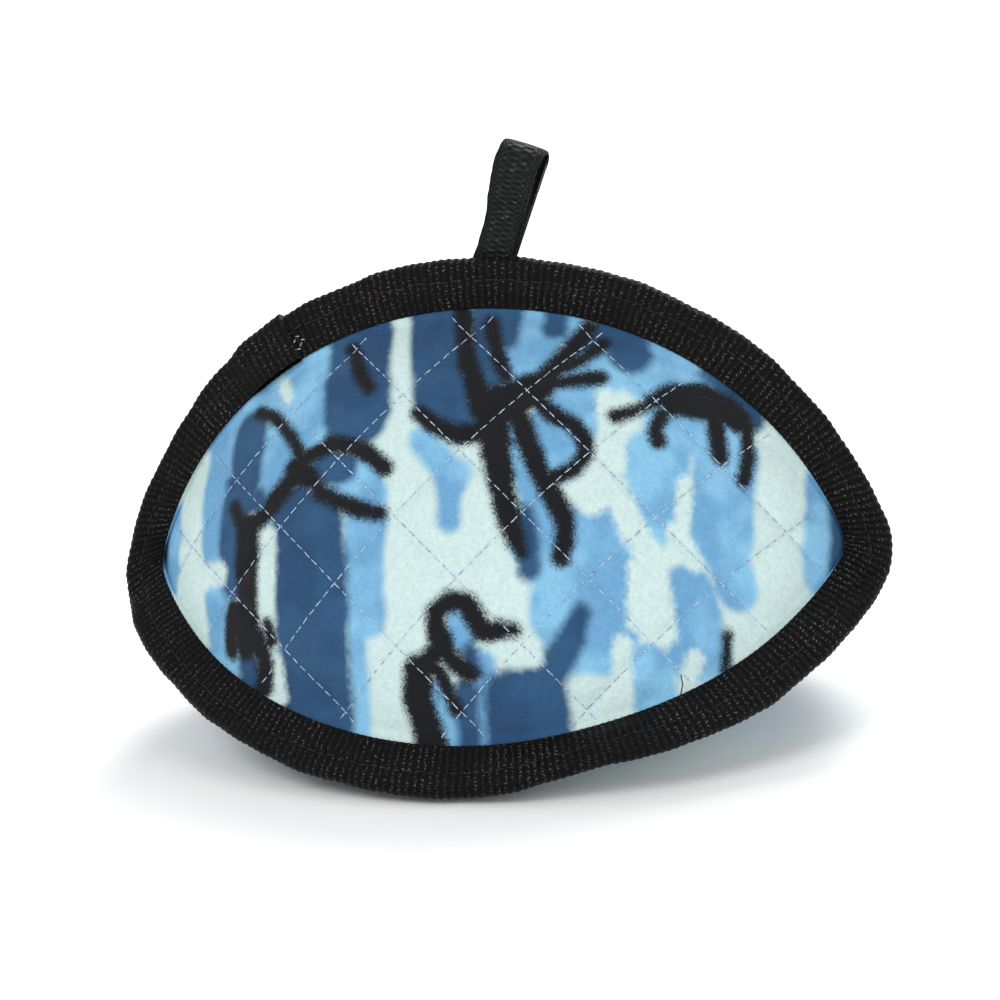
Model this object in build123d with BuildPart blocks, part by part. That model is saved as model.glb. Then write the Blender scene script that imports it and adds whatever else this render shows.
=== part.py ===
from build123d import *
from math import asin, ceil, cos, degrees, floor, hypot, radians, sin, sqrt
import os

# Stuffed body: three equal domed panels that meet in two tips on the X axis
TIP_HALF_LENGTH = 88.0  # mid length to a tip of the stuffed body
SEAM_DISTANCE = 63.0  # seam line from the long axis at mid length
REST_FLAT = 3.0  # how far the weight flattens the base panel

# Panel layers, outside to inside
FLEECE = 1.6
WADDING = 2.0
BACKING = 0.4
FLEECE_ALLOWANCE = 1.0  # fleece pressed flat inside the binding

# Folded webbing that binds each seam
BINDING_DEPTH = 12.7
BINDING_TAPE = 1.3
BINDING_FOLD_ROUND = 2.2
ALLOWANCE_TO_FOLD = 0.5
LAP_ANGLE = 31.0  # where the overlap starts, round the top seam from mid length
LAP_LENGTH = 22.0

# Webbing loop at the top seam
LOOP_WIDTH = 11.0
LOOP_TAPE = 1.2
LOOP_HEIGHT = 29.0  # fold of the rim to the top of the loop, along the loop
LOOP_EYE = 7.4  # widest gap between the two legs
LOOP_EYE_ROOT = 0.3  # rounding where the legs part
LOOP_CLOSED = 6.0  # length where the legs lie together above the hinge line
LOOP_LEAN = 20.0
LOOP_SHIFT = 5.2  # from mid length towards +X
LOOP_TAIL = 10.0  # sewn length behind the top seam
HINGE_ABOVE_RIM = 2.6
HINGE_GAP = 0.6  # turning end of the loop above its tails

# Sewing
THREAD = 0.4
THREAD_GAP = 0.05
QUILT_PITCH = 22.5
QUILT_PHASE = 10.3
QUILT_TURN = 45.0
QUILT_END_GAP = 0.4  # thread ends clear of the binding
STITCH_FROM_FOLD = 5.5
BAR_TACK = (8.0, 1.4, 0.5)  # length, width, thickness
BAR_TACK_BELOW_RIM = 2.5
BAR_TACK_PITCH = 5.0

# Directions round the long axis, in degrees from +Z towards -Y
TOP_SEAM = 0.0
FRONT_SEAM = 120.0
REAR_SEAM = 240.0
FRONT = 60.0
BASE = 180.0
BACK = 300.0
WEDGE = 60.0

SPHERE_OFFSET = (TIP_HALF_LENGTH**2 - SEAM_DISTANCE**2) / SEAM_DISTANCE
SPHERE_RADIUS = hypot(TIP_HALF_LENGTH, SPHERE_OFFSET)
CENTRE_TO_SEAM_PLANE = SPHERE_OFFSET * sin(radians(WEDGE))
SEAM_CENTRE = SPHERE_OFFSET * cos(radians(WEDGE))
SEAM_RADIUS = SEAM_DISTANCE + SEAM_CENTRE
AXIS_HEIGHT = SPHERE_RADIUS - SPHERE_OFFSET - REST_FLAT
AXIS_POINT = Vector(0, 0, AXIS_HEIGHT)
LONG_WAY = Vector(1, 0, 0)

ALLOWANCE_HALF = BACKING + FLEECE_ALLOWANCE
BINDING_HALF = ALLOWANCE_HALF + BINDING_TAPE
RIM_RADIUS = SEAM_RADIUS + BINDING_DEPTH
ALLOWANCE_RADIUS = RIM_RADIUS - BINDING_TAPE - ALLOWANCE_TO_FOLD
LAYERS = FLEECE + WADDING + BACKING

# Quilting lines that still cross a panel inside its bindings, counted from its centre
QUILT_CLEARANCE = BINDING_HALF + QUILT_END_GAP
quilt_tip = sqrt(SPHERE_RADIUS**2 - (SPHERE_OFFSET + QUILT_CLEARANCE / sin(radians(WEDGE))) ** 2)
quilt_reach = SPHERE_RADIUS * asin(quilt_tip * cos(radians(QUILT_TURN)) / SPHERE_RADIUS)
quilt_first = ceil((-quilt_reach - QUILT_PHASE) / QUILT_PITCH)
quilt_last = floor((quilt_reach - QUILT_PHASE) / QUILT_PITCH)

TAIL_FACE = BINDING_HALF + THREAD + THREAD_GAP  # tails lie over the stitching
LOOP_Y = TAIL_FACE + LOOP_TAPE


def outward(angle):
    """Unit direction away from the long axis."""
    return Vector(0, -sin(radians(angle)), cos(radians(angle)))


def seam_plane(angle):
    """Plane of one seam: X along the toy, Y outward, Z towards the next panel."""
    return Plane(origin=AXIS_POINT, x_dir=LONG_WAY, z_dir=outward(angle + 90))


def seam_axis(angle):
    """Axis that one seam's arc runs round."""
    return Axis(AXIS_POINT - outward(angle) * SEAM_CENTRE, outward(angle + 90))


def profile_plane(angle, turn=0.0):
    """Plane across one seam's fin: X away from the arc's centre, Y through the fin."""
    away = outward(angle) * cos(radians(turn)) + LONG_WAY * sin(radians(turn))
    along = LONG_WAY * cos(radians(turn)) - outward(angle) * sin(radians(turn))
    return Plane(origin=AXIS_POINT - outward(angle) * SEAM_CENTRE, x_dir=away, z_dir=along)


def keep_wedge(angle, clearance=0.0):
    """Trim the part in hand to the third of the toy round one direction."""
    for side in (WEDGE - 90, 90 - WEDGE):
        normal = outward(angle + side)
        split(bisect_by=Plane(origin=AXIS_POINT + normal * clearance, z_dir=normal), keep=Keep.TOP)


def panel_ball(angle, depth):
    """Ball that bounds one panel at a depth below the fleece."""
    normal = outward(angle)
    with BuildPart() as ball:
        with Locations(Plane(origin=AXIS_POINT - normal * SPHERE_OFFSET, x_dir=LONG_WAY, z_dir=normal)):
            Sphere(radius=SPHERE_RADIUS - depth)
        if angle == BASE:
            split(bisect_by=Plane.XY.offset(depth), keep=Keep.TOP)
    return ball.part


def panel_layer(angle, outer_depth, inner_depth):
    """Domed layer of one panel between two depths."""
    add(panel_ball(angle, outer_depth))
    add(panel_ball(angle, inner_depth), mode=Mode.SUBTRACT)


def allowance(seam_angle, near, far, dome_depth):
    """Flat seam allowance beside one seam, from inside the dome's layer to the fold."""
    from_centre = CENTRE_TO_SEAM_PLANE + abs(near + far) / 2
    with BuildSketch(seam_plane(seam_angle).offset(min(near, far))) as ring:
        with Locations((0, -SEAM_CENTRE)):
            Circle(ALLOWANCE_RADIUS)
            Circle(sqrt((SPHERE_RADIUS - dome_depth) ** 2 - from_centre**2), mode=Mode.SUBTRACT)
    extrude(ring.sketch, amount=abs(far - near))


def fleece_panel(angle):
    """Printed fleece of one panel with an allowance on both of its seams."""
    panel_layer(angle, 0, FLEECE)
    allowance(angle - WEDGE, BACKING, ALLOWANCE_HALF, FLEECE / 2)
    allowance(angle + WEDGE, -BACKING, -ALLOWANCE_HALF, FLEECE / 2)
    keep_wedge(angle, BACKING)


def wadding_panel(angle):
    """Quilting wadding, which stops at the seams."""
    panel_layer(angle, FLEECE, FLEECE + WADDING)
    keep_wedge(angle, BACKING)


def backing_panel(angle):
    """Thin backing cloth with an allowance on both of its seams."""
    panel_layer(angle, FLEECE + WADDING, LAYERS)
    allowance(angle - WEDGE, 0, BACKING, LAYERS - BACKING / 2)
    allowance(angle + WEDGE, 0, -BACKING, LAYERS - BACKING / 2)
    keep_wedge(angle)


def bound_seam(angle):
    """Webbing folded over one seam and mitred where the seams meet."""
    with BuildPart() as tape:
        with BuildSketch(profile_plane(angle)):
            with Locations((SEAM_RADIUS + BINDING_DEPTH / 2, 0)):
                Rectangle(BINDING_DEPTH, 2 * BINDING_HALF)
            fillet(tape_corners(), radius=BINDING_FOLD_ROUND)
            with Locations((SEAM_RADIUS + (BINDING_DEPTH - BINDING_TAPE) / 2, 0)):
                Rectangle(BINDING_DEPTH - BINDING_TAPE, 2 * ALLOWANCE_HALF, mode=Mode.SUBTRACT)
        revolve(axis=seam_axis(angle))
        keep_wedge(angle)
    return tape.part


def tape_corners():
    """The two corners of the sketch in hand on its outer side."""
    return vertices().sort_by(Axis.X)[-2:]


def strip_lap():
    """Second thickness of webbing where the strip's end laps over its start."""
    with BuildPart() as lap:
        with BuildSketch(profile_plane(TOP_SEAM, -LAP_ANGLE)):
            with Locations((SEAM_RADIUS + (BINDING_DEPTH + BINDING_TAPE) / 2, 0)):
                Rectangle(BINDING_DEPTH + BINDING_TAPE, 2 * (BINDING_HALF + BINDING_TAPE))
            fillet(tape_corners(), radius=BINDING_FOLD_ROUND + BINDING_TAPE)
            with Locations((SEAM_RADIUS + BINDING_DEPTH / 2, 0)):
                Rectangle(BINDING_DEPTH, 2 * BINDING_HALF, mode=Mode.SUBTRACT)
        revolve(axis=seam_axis(TOP_SEAM), revolution_arc=degrees(LAP_LENGTH / RIM_RADIUS))
    return lap.part


def quilting_line(angle, turn, line, lift):
    """One line of thread over a panel, trimmed at the bindings."""
    normal = outward(angle)
    centre = AXIS_POINT - normal * SPHERE_OFFSET
    spacing_way = LONG_WAY * cos(radians(turn)) + outward(angle + 90) * sin(radians(turn))
    across = SPHERE_RADIUS * sin((line * QUILT_PITCH + QUILT_PHASE) / SPHERE_RADIUS)
    surface = sqrt(SPHERE_RADIUS**2 - max(abs(across) - THREAD / 2, 0) ** 2)
    with BuildPart() as strand:
        with BuildSketch(Plane(origin=centre, x_dir=normal, z_dir=normal.cross(spacing_way))):
            with Locations((surface + lift + THREAD / 2, across)):
                Rectangle(THREAD, THREAD)
        revolve(axis=Axis(centre, spacing_way))
        keep_wedge(angle, QUILT_CLEARANCE)
        if angle == BASE:
            split(bisect_by=Plane.XY.offset(THREAD), keep=Keep.TOP)
    return strand.part


def quilting(angle):
    """Two crossing families of thread lines on one panel."""
    for line in range(quilt_first, quilt_last + 1):
        add(quilting_line(angle, -QUILT_TURN, line, THREAD_GAP))
        add(quilting_line(angle, QUILT_TURN, line, THREAD + 2 * THREAD_GAP))


def stitch_rows(angle):
    """One line of stitching on each face of a bound seam."""
    with BuildPart() as rows:
        for side in (-1, 1):
            with BuildSketch(profile_plane(angle)):
                with Locations((RIM_RADIUS - STITCH_FROM_FOLD, side * (BINDING_HALF + THREAD / 2))):
                    Rectangle(THREAD, THREAD)
            revolve(axis=seam_axis(angle))
        keep_wedge(angle)
    return rows.part


with BuildPart() as fibre_fill:
    add(panel_ball(FRONT, LAYERS))
    add(panel_ball(BACK, LAYERS), mode=Mode.INTERSECT)
    add(panel_ball(BASE, LAYERS), mode=Mode.INTERSECT)

with BuildPart() as front_fleece:
    fleece_panel(FRONT)

with BuildPart() as back_fleece:
    fleece_panel(BACK)

with BuildPart() as base_fleece:
    fleece_panel(BASE)

with BuildPart() as front_wadding:
    wadding_panel(FRONT)

with BuildPart() as back_wadding:
    wadding_panel(BACK)

with BuildPart() as base_wadding:
    wadding_panel(BASE)

with BuildPart() as front_backing:
    backing_panel(FRONT)

with BuildPart() as back_backing:
    backing_panel(BACK)

with BuildPart() as base_backing:
    backing_panel(BASE)

# One strip runs round the front panel and laps over itself near the top left
with BuildPart() as perimeter_binding:
    add(bound_seam(TOP_SEAM))
    add(bound_seam(FRONT_SEAM))
    add(strip_lap())

with BuildPart() as rear_binding:
    add(bound_seam(REAR_SEAM))

with BuildPart() as front_quilting_thread:
    quilting(FRONT)

with BuildPart() as back_quilting_thread:
    quilting(BACK)

with BuildPart() as base_quilting_thread:
    quilting(BASE)

with BuildPart() as perimeter_binding_thread:
    add(stitch_rows(TOP_SEAM))
    add(stitch_rows(FRONT_SEAM))
    add(strip_lap(), mode=Mode.SUBTRACT)

with BuildPart() as rear_binding_thread:
    add(stitch_rows(REAR_SEAM))

# Loop of webbing: both ends lie flat behind the top seam and the eye stands above it
rim_height = AXIS_HEIGHT - SEAM_CENTRE + sqrt(RIM_RADIUS**2 - LOOP_SHIFT**2)
hinge_height = rim_height + HINGE_ABOVE_RIM
eye_top = LOOP_HEIGHT - HINGE_ABOVE_RIM - LOOP_TAPE
strip_way = Vector(cos(radians(LOOP_LEAN)), 0, -sin(radians(LOOP_LEAN)))
loop_plane = Plane(origin=(LOOP_SHIFT, LOOP_Y, hinge_height), x_dir=(0, 1, 0), z_dir=strip_way)
tail_plane = Plane(origin=(LOOP_SHIFT, LOOP_Y, hinge_height), x_dir=strip_way * -1, z_dir=(0, 1, 0))

with BuildPart() as loop_handle:
    for grown, mode in ((LOOP_TAPE, Mode.ADD), (0, Mode.SUBTRACT)):
        with BuildSketch(loop_plane) as ring:
            with Locations((0, eye_top - LOOP_EYE / 2)):
                Circle(LOOP_EYE / 2 + grown)
            with Locations((0, LOOP_CLOSED)):
                Circle(LOOP_EYE_ROOT + grown)
            make_hull()
        extrude(amount=LOOP_WIDTH, both=True, mode=mode)
    with BuildSketch(loop_plane):
        with Locations((0, LOOP_CLOSED / 2 - LOOP_EYE_ROOT - LOOP_TAPE / 2)):
            Rectangle(2 * LOOP_TAPE, LOOP_CLOSED)
    extrude(amount=LOOP_WIDTH, both=True)
    for side in (-1, 1):
        edge_point = loop_plane.origin + strip_way * side * LOOP_WIDTH / 2
        split(bisect_by=Plane(origin=edge_point, z_dir=strip_way * -side), keep=Keep.TOP)
    split(bisect_by=Plane.XY.offset(hinge_height), keep=Keep.TOP)
    with Locations(Plane(origin=loop_plane.origin, z_dir=LONG_WAY)):
        Cylinder(radius=LOOP_TAPE, height=LOOP_WIDTH / cos(radians(LOOP_LEAN)))

with BuildPart() as handle_tails:
    with BuildSketch(tail_plane):
        Rectangle(LOOP_WIDTH, 2 * (LOOP_TAIL + HINGE_ABOVE_RIM))
    extrude(amount=LOOP_TAPE, both=True)
    split(bisect_by=Plane.XY.offset(hinge_height - LOOP_TAPE - HINGE_GAP), keep=Keep.BOTTOM)

first_tack = HINGE_ABOVE_RIM + BAR_TACK_BELOW_RIM
with BuildPart() as handle_bar_tack:
    for row in (0, 1):
        with Locations(tail_plane):
            with Locations((0, -first_tack - row * BAR_TACK_PITCH, LOOP_TAPE + BAR_TACK[2] / 2)):
                Box(*BAR_TACK)
    fillet(edges().filter_by(GeomType.LINE).group_by(Axis.Y)[-1], radius=BAR_TACK[2] / 3)

nodes = {
    "fibre_fill": fibre_fill,
    "front_fleece": front_fleece,
    "back_fleece": back_fleece,
    "base_fleece": base_fleece,
    "front_wadding": front_wadding,
    "back_wadding": back_wadding,
    "base_wadding": base_wadding,
    "front_backing": front_backing,
    "back_backing": back_backing,
    "base_backing": base_backing,
    "perimeter_binding": perimeter_binding,
    "rear_binding": rear_binding,
    "front_quilting_thread": front_quilting_thread,
    "back_quilting_thread": back_quilting_thread,
    "base_quilting_thread": base_quilting_thread,
    "perimeter_binding_thread": perimeter_binding_thread,
    "rear_binding_thread": rear_binding_thread,
    "loop_handle": loop_handle,
    "handle_tails": handle_tails,
    "handle_bar_tack": handle_bar_tack,
}
os.makedirs("parts", exist_ok=True)
for label, node in nodes.items():
    node.part.label = label
    export_step(node.part, f"parts/{label}.step")
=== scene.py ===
"""Stuffed three-sided throw toy: quilted printed fleece, folded webbing bindings and a webbing loop."""

import logging
import math
from collections.abc import Callable
from dataclasses import dataclass, field
from enum import Enum

import bmesh
import bpy
import numpy as np
from mathutils import Matrix, Vector


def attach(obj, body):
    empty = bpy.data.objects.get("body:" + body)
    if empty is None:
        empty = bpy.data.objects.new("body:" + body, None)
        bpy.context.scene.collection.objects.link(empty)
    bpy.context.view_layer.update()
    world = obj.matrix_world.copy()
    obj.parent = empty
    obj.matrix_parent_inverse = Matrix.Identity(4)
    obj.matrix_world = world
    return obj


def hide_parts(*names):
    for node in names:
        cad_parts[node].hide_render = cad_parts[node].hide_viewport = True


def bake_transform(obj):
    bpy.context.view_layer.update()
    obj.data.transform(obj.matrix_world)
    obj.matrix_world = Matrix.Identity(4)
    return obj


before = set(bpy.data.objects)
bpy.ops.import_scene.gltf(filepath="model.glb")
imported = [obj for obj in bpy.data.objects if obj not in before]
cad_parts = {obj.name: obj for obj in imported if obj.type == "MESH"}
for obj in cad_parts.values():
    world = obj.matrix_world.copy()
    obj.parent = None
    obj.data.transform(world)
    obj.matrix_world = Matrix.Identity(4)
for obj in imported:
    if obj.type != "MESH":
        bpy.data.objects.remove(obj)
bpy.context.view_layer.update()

MM = 0.001
LONG_WAY = np.array([1.0, 0.0, 0.0])
BACK_WAY = np.array([0.0, 1.0, 0.0])
UP_WAY = np.array([0.0, 0.0, 1.0])
log = logging.getLogger("throw_toy")

Points = np.ndarray
Polyline = tuple[tuple[float, float], ...]
Spot = tuple[float, float, float]
Shade = tuple[int, int, int]
Seat = tuple[Points, Points, Points]
Piece = bpy.types.Object
Socket = bpy.types.NodeSocket


class Panel(Enum):
    """The three domed panels, by the way they face round the long axis."""

    FRONT = 60.0
    BASE = 180.0
    BACK = 300.0


class Seam(Enum):
    """The three bound seams, by the way they stand out from the long axis."""

    TOP = 0.0
    FRONT = 120.0
    REAR = 240.0


class Dye(Enum):
    """Layers of the print, in the order that they cover each other."""

    BLUE = "print_blue"
    STEEL = "print_steel"
    PALE = "print_pale"
    BLACK = "print_black"


def outward(degrees: float | Points) -> Points:
    """Unit direction away from the long axis, 0 being up and 90 to the front."""
    angle = np.radians(np.asarray(degrees, float))
    return np.stack([np.zeros_like(angle), -np.sin(angle), np.cos(angle)], axis=-1)


def ease(value: Points | float) -> Points:
    """Smooth step from 0 to 1 of a value, held outside that range."""
    t = np.clip(value, 0.0, 1.0)
    return t * t * (3.0 - 2.0 * t)


def bell(value: Points | float, width: float) -> Points:
    """Bell curve of height 1 over a value, with its half width."""
    return np.exp(-((np.asarray(value) / width) ** 2))


def ripple(value: Points, wave: float, seed: float) -> Points:
    """Slow irregular wave between about -1 and 1.

    Args:
        value: Distance along the piece.
        wave: Main wave length in the same unit.
        seed: Shifts the wave, so that two pieces differ.

    Returns:
        The wave's height at each value.
    """
    turn = 2.0 * math.pi * value / wave
    return (
        0.5 * np.sin(turn + seed)
        + 0.3 * np.sin(1.71 * turn + 2.3 * seed)
        + 0.2 * np.sin(3.13 * turn + 4.1 * seed)
    )


def unit(rows: Points) -> Points:
    """Rows scaled to length 1."""
    return rows / np.linalg.norm(rows, axis=1)[:, None]


def running_length(line: Points) -> Points:
    """Distance travelled along a line at each of its points."""
    steps = np.linalg.norm(np.diff(line, axis=0), axis=1)
    return np.concatenate([[0.0], np.cumsum(steps)])


def read_at(where: Points | float, run: Points, rows: Points) -> Points:
    """Rows read off at places between the distances that they belong to."""
    return np.stack([np.interp(where, run, column) for column in rows.T], axis=-1)


@dataclass(frozen=True)
class BodyForm:
    """The stuffed body: three equal domes that meet in three seams and two tips."""

    tip: float = 88.0 * MM
    seam: float = 63.0 * MM
    rest_flat: float = 3.0 * MM
    half_wedge: float = 60.0
    floor_round: float = 0.9 * MM

    @property
    def offset(self) -> float:
        """Distance of a dome's centre beyond the long axis."""
        return (self.tip**2 - self.seam**2) / self.seam

    @property
    def radius(self) -> float:
        """Radius of each dome."""
        return math.hypot(self.tip, self.offset)

    @property
    def axis(self) -> Points:
        """Middle of the long axis."""
        return np.array([0.0, 0.0, self.radius - self.offset - self.rest_flat])

    @property
    def seam_centre(self) -> float:
        """Distance of a seam arc's centre beyond the long axis."""
        return self.offset * math.cos(math.radians(self.half_wedge))

    @property
    def seam_radius(self) -> float:
        """Radius of each seam's arc."""
        return self.seam + self.seam_centre

    @property
    def seam_sweep(self) -> float:
        """Half of a seam's arc, in radians."""
        return math.asin(self.tip / self.seam_radius)

    def dome_centre(self, panel: Panel) -> Points:
        """Centre of one panel's dome."""
        return self.axis - outward(panel.value) * self.offset

    def dome(self, panel: Panel, along: Points, wedge: Points) -> Points:
        """Points on one panel's dome.

        Args:
            panel: The panel.
            along: Place from tip to tip, -1 to 1.
            wedge: Degrees round the long axis from the panel's middle.

        Returns:
            One point for each pair.
        """
        turn = np.radians(wedge)
        ring = np.sqrt(self.radius**2 - (self.offset * np.sin(turn)) ** 2)
        sweep = along * np.arcsin(self.tip / ring)
        out = ring * np.cos(sweep) - self.offset * np.cos(turn)
        across = out[:, None] * outward(panel.value + wedge)
        return self.axis + (ring * np.sin(sweep))[:, None] * LONG_WAY + across

    def away(self, panel: Panel, points: Points) -> Points:
        """Unit directions straight out of a panel's dome at some points."""
        return unit(points - self.dome_centre(panel))

    def flat(self, panel: Panel, points: Points, way: Points) -> Points:
        """Arc length in metres over a dome along one direction, from the panel's middle."""
        share = self.away(panel, points) @ way
        return self.radius * np.arcsin(np.clip(share, -1.0, 1.0))

    def fin_frame(self, seam: Seam, sweep: Points, lean: "FinLean") -> tuple[Points, Points, Points]:
        """The leaning fin along a seam.

        Args:
            seam: The seam.
            sweep: Angles round the seam's arc.
            lean: How the fins lean.

        Returns:
            Seam points, ways out along the fin and ways across it.
        """
        out = np.sin(sweep)[:, None] * LONG_WAY + np.cos(sweep)[:, None] * outward(seam.value)
        base = self.axis - outward(seam.value) * self.seam_centre + out * self.seam_radius
        across = np.broadcast_to(outward(seam.value + 90.0), out.shape)
        angle = lean.at(seam, sweep, self)[:, None]
        leant_out = np.cos(angle) * out + np.sin(angle) * across
        return base, leant_out, np.cos(angle) * across - np.sin(angle) * out

    def over_dome(self, panel: Panel, place: Spot) -> Points:
        """A point over a panel.

        Args:
            panel: The panel.
            place: Metres along the cloth, up the cloth and off the cloth.

        Returns:
            The point.
        """
        long, up = (math.sin(part / self.radius) for part in place[:2])
        out = math.sqrt(1.0 - long * long - up * up)
        ray = LONG_WAY * long + outward(panel.value - 90.0) * up + outward(panel.value) * out
        return self.dome_centre(panel) + ray * (self.radius + place[2])

    def rest(self, points: Points) -> Points:
        """Press points up onto the floor where they would pass below it.

        Args:
            points: Points of the base panel.

        Returns:
            The pressed points.
        """
        pressed = points.copy()
        height = points[:, 2]
        pressed[:, 2] = (height + np.sqrt(height**2 + self.floor_round**2)) / 2
        return pressed


@dataclass(frozen=True)
class SeamLean:
    """How one bound seam leans: its angle, one place that is held, and its slow wander."""

    angle: float
    held_at: float = 0.0
    held_width: float = 1.0
    held_share: float = 0.0
    wander: float = 0.0
    wave: float = 1.0
    seed: float = 0.0


@dataclass(frozen=True)
class FinLean:
    """How far each bound seam leans over from the plane between its panels."""

    top: SeamLean = SeamLean(-0.46, 5.2 * MM, 24.0 * MM, 0.72, 0.15, 0.9, 0.4)
    front: SeamLean = SeamLean(0.42, 34.0 * MM, 21.0 * MM, 1.15)
    rear: SeamLean = SeamLean(-0.36, wander=0.12, wave=0.7, seed=3.1)
    steady_share: float = 0.6
    tip_sag: tuple[float, float] = (0.62, 0.34)
    tip_sag_reach: float = 30.0 * MM
    tucks: tuple[tuple[Seam, float, float, float], ...] = (
        (Seam.TOP, -79.0 * MM, 11.0 * MM, 0.24),
        (Seam.TOP, 80.0 * MM, 12.0 * MM, 0.12),
        (Seam.FRONT, 24.0 * MM, 15.0 * MM, 0.13),
        (Seam.REAR, 88.0 * MM, 9.0 * MM, 0.3),
        (Seam.REAR, -88.0 * MM, 9.0 * MM, 0.2),
    )

    def at(self, seam: Seam, sweep: Points, form: BodyForm) -> Points:
        """Lean in radians towards the next panel.

        Args:
            seam: The seam.
            sweep: Angles round the seam's arc.
            form: The stuffed body.

        Returns:
            One lean for each angle, nothing at the tips.
        """
        lean = {Seam.TOP: self.top, Seam.FRONT: self.front, Seam.REAR: self.rear}[seam]
        fade = 1.0 - ease((np.abs(sweep) / form.seam_sweep - self.steady_share) / (1.0 - self.steady_share))
        along = form.seam_radius * np.sin(sweep)
        held = 1.0 - lean.held_share * bell(along - lean.held_at, lean.held_width)
        return lean.angle * fade * held * (1.0 + lean.wander * ripple(sweep, lean.wave, lean.seed))

    def reach(self, seam: Seam, along: Points) -> Points:
        """Share of its full depth that a binding stands out.

        Args:
            seam: The seam.
            along: Places along the toy.

        Returns:
            One share for each place, less than 1 where the strip was sewn further in.
        """
        share = np.ones_like(along)
        for tucked, place, width, depth in self.tucks:
            if tucked is seam:
                share -= depth * bell(along - place, width)
        return share

    def sag(self, base: Points, out: Points, form: BodyForm) -> Points:
        """Ways out of the fins, with the loose fins sagging at both tips.

        Args:
            base: Seam points.
            out: Way out at each of them.
            form: The stuffed body.

        Returns:
            The ways out after sagging.
        """
        to_tip = np.linalg.norm(base - form.axis - np.sign(base[:, :1]) * form.tip * LONG_WAY, axis=1)
        near = 1.0 - ease(to_tip / self.tip_sag_reach)
        depth = np.where(base[:, 0] < 0, self.tip_sag[0], self.tip_sag[1]) * near
        return unit(out - depth[:, None] * UP_WAY)


@dataclass
class FinPath:
    """A line of stations along one binding: seam point, way out and way across."""

    base: Points
    out: Points
    across: Points
    reach: Points
    closed: bool = False
    measured_at: float = 8.0 * MM

    @property
    def rows(self) -> tuple[Points, ...]:
        """Everything known about the stations, one row for each."""
        return self.base, self.out, self.across, self.reach

    @property
    def run(self) -> Points:
        """Length of tape up to each station, measured part way out from the seam."""
        return running_length(self.base + self.out * self.measured_at)

    @property
    def length(self) -> float:
        """Length of the whole tape."""
        return float(self.run[-1])

    def place(self, share: Points, depth: Points, side: Points) -> Points:
        """Points in the fin.

        Args:
            share: Place along the path, 0 to 1.
            depth: Metres out from the seam.
            side: Metres across, positive on the leading face.

        Returns:
            One point for each.
        """
        at = share * (len(self.base) - 1)
        low = np.clip(at.astype(int), 0, len(self.base) - 2)
        part = (at - low)[:, None]
        base, out, across, reach = (row[low] * (1 - part) + row[low + 1] * part for row in self.rows)
        return base + out * reach * depth[:, None] + across * side[:, None]

    def evened(self, count: int) -> "FinPath":
        """The same path with evenly spaced stations.

        Args:
            count: The number of stations.

        Returns:
            The evened path.
        """
        wanted = np.linspace(0.0, self.length, count)
        return FinPath(*(read_at(wanted, self.run, rows) for rows in self.rows), closed=self.closed)


@dataclass(frozen=True)
class FinPaths:
    """Works out where the two bindings run."""

    form: BodyForm
    lean: FinLean
    stations: int = 900
    tip_reach: float = 13.0 * MM
    tip_round: float = 4.2 * MM

    def seam(self, seam: Seam, facing: float, way: int) -> FinPath:
        """Path of one seam from tip to tip.

        Args:
            seam: The seam.
            facing: 1 to face the next panel, or -1 to face the one before.
            way: 1 to run towards +X, or -1.

        Returns:
            The leaning path.
        """
        form = self.form
        sweep = np.linspace(-form.seam_sweep, form.seam_sweep, self.stations) * way
        base, out, across = form.fin_frame(seam, sweep, self.lean)
        reach = self.lean.reach(seam, form.seam_radius * np.sin(sweep))[:, None]
        return FinPath(base, out, across * facing, reach)

    def settled(self, base: Points, out: Points, across: Points) -> tuple[Points, Points]:
        """Let the fins sag at the tips.

        Args:
            base: Seam points.
            out: Way out at each of them.
            across: Way across the fin at each of them.

        Returns:
            The ways out and across after sagging, square to each other.
        """
        out = self.lean.sag(base, out, self.form)
        return out, unit(across - out * np.sum(out * across, axis=1)[:, None])

    def perimeter(self) -> FinPath:
        """Path of the strip that runs right round the front panel, rounded at both tips.

        Returns:
            The closed path.
        """
        halves = (self.seam(Seam.TOP, 1, 1).rows, self.seam(Seam.FRONT, -1, -1).rows)
        rows = [np.concatenate([top[:-1], low[:-1]]) for top, low in zip(*halves)]
        steps = np.linalg.norm(np.roll(rows[0], -1, axis=0) - rows[0], axis=1)
        run = np.cumsum(steps) - steps[0]
        total = float(steps.sum())
        to_tip = np.minimum(np.abs(run - total / 2), np.minimum(run, total - run))
        near = 1.0 - ease(to_tip / self.tip_reach)
        sigma = self.tip_round / (total / len(run))
        span = int(4 * sigma)
        kernel = np.exp(-0.5 * (np.arange(-span, span + 1) / sigma) ** 2)
        kernel /= kernel.sum()
        smooth = []
        for values in rows:
            looped = np.concatenate([values[-span:], values, values[:span]])
            soft = np.stack([np.convolve(column, kernel, "valid") for column in looped.T], axis=1)
            smooth.append(values + (soft - values) * near[:, None])
        base, out, across, reach = smooth
        out, across = self.settled(base, unit(out), across)
        ends = [np.concatenate([values, values[:1]]) for values in (base, out, across, reach)]
        return FinPath(*ends, closed=True)

    def rear(self) -> FinPath:
        """Path of the strip on the rear seam.

        Returns:
            The open path.
        """
        path = self.seam(Seam.REAR, 1, 1)
        out, across = self.settled(path.base, path.out, path.across)
        return FinPath(path.base, out, across, path.reach)


def linear(colour: Shade) -> tuple[float, ...]:
    """Turn a shade into the shader's linear colour.

    Args:
        colour: Red, green and blue as screen values from 0 to 255.

    Returns:
        The linear colour, fully opaque.
    """
    shares = [c / 255.0 for c in colour]
    parts = [s / 12.92 if s <= 0.04045 else ((s + 0.055) / 1.055) ** 2.4 for s in shares]
    return (parts[0], parts[1], parts[2], 1.0)


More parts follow.
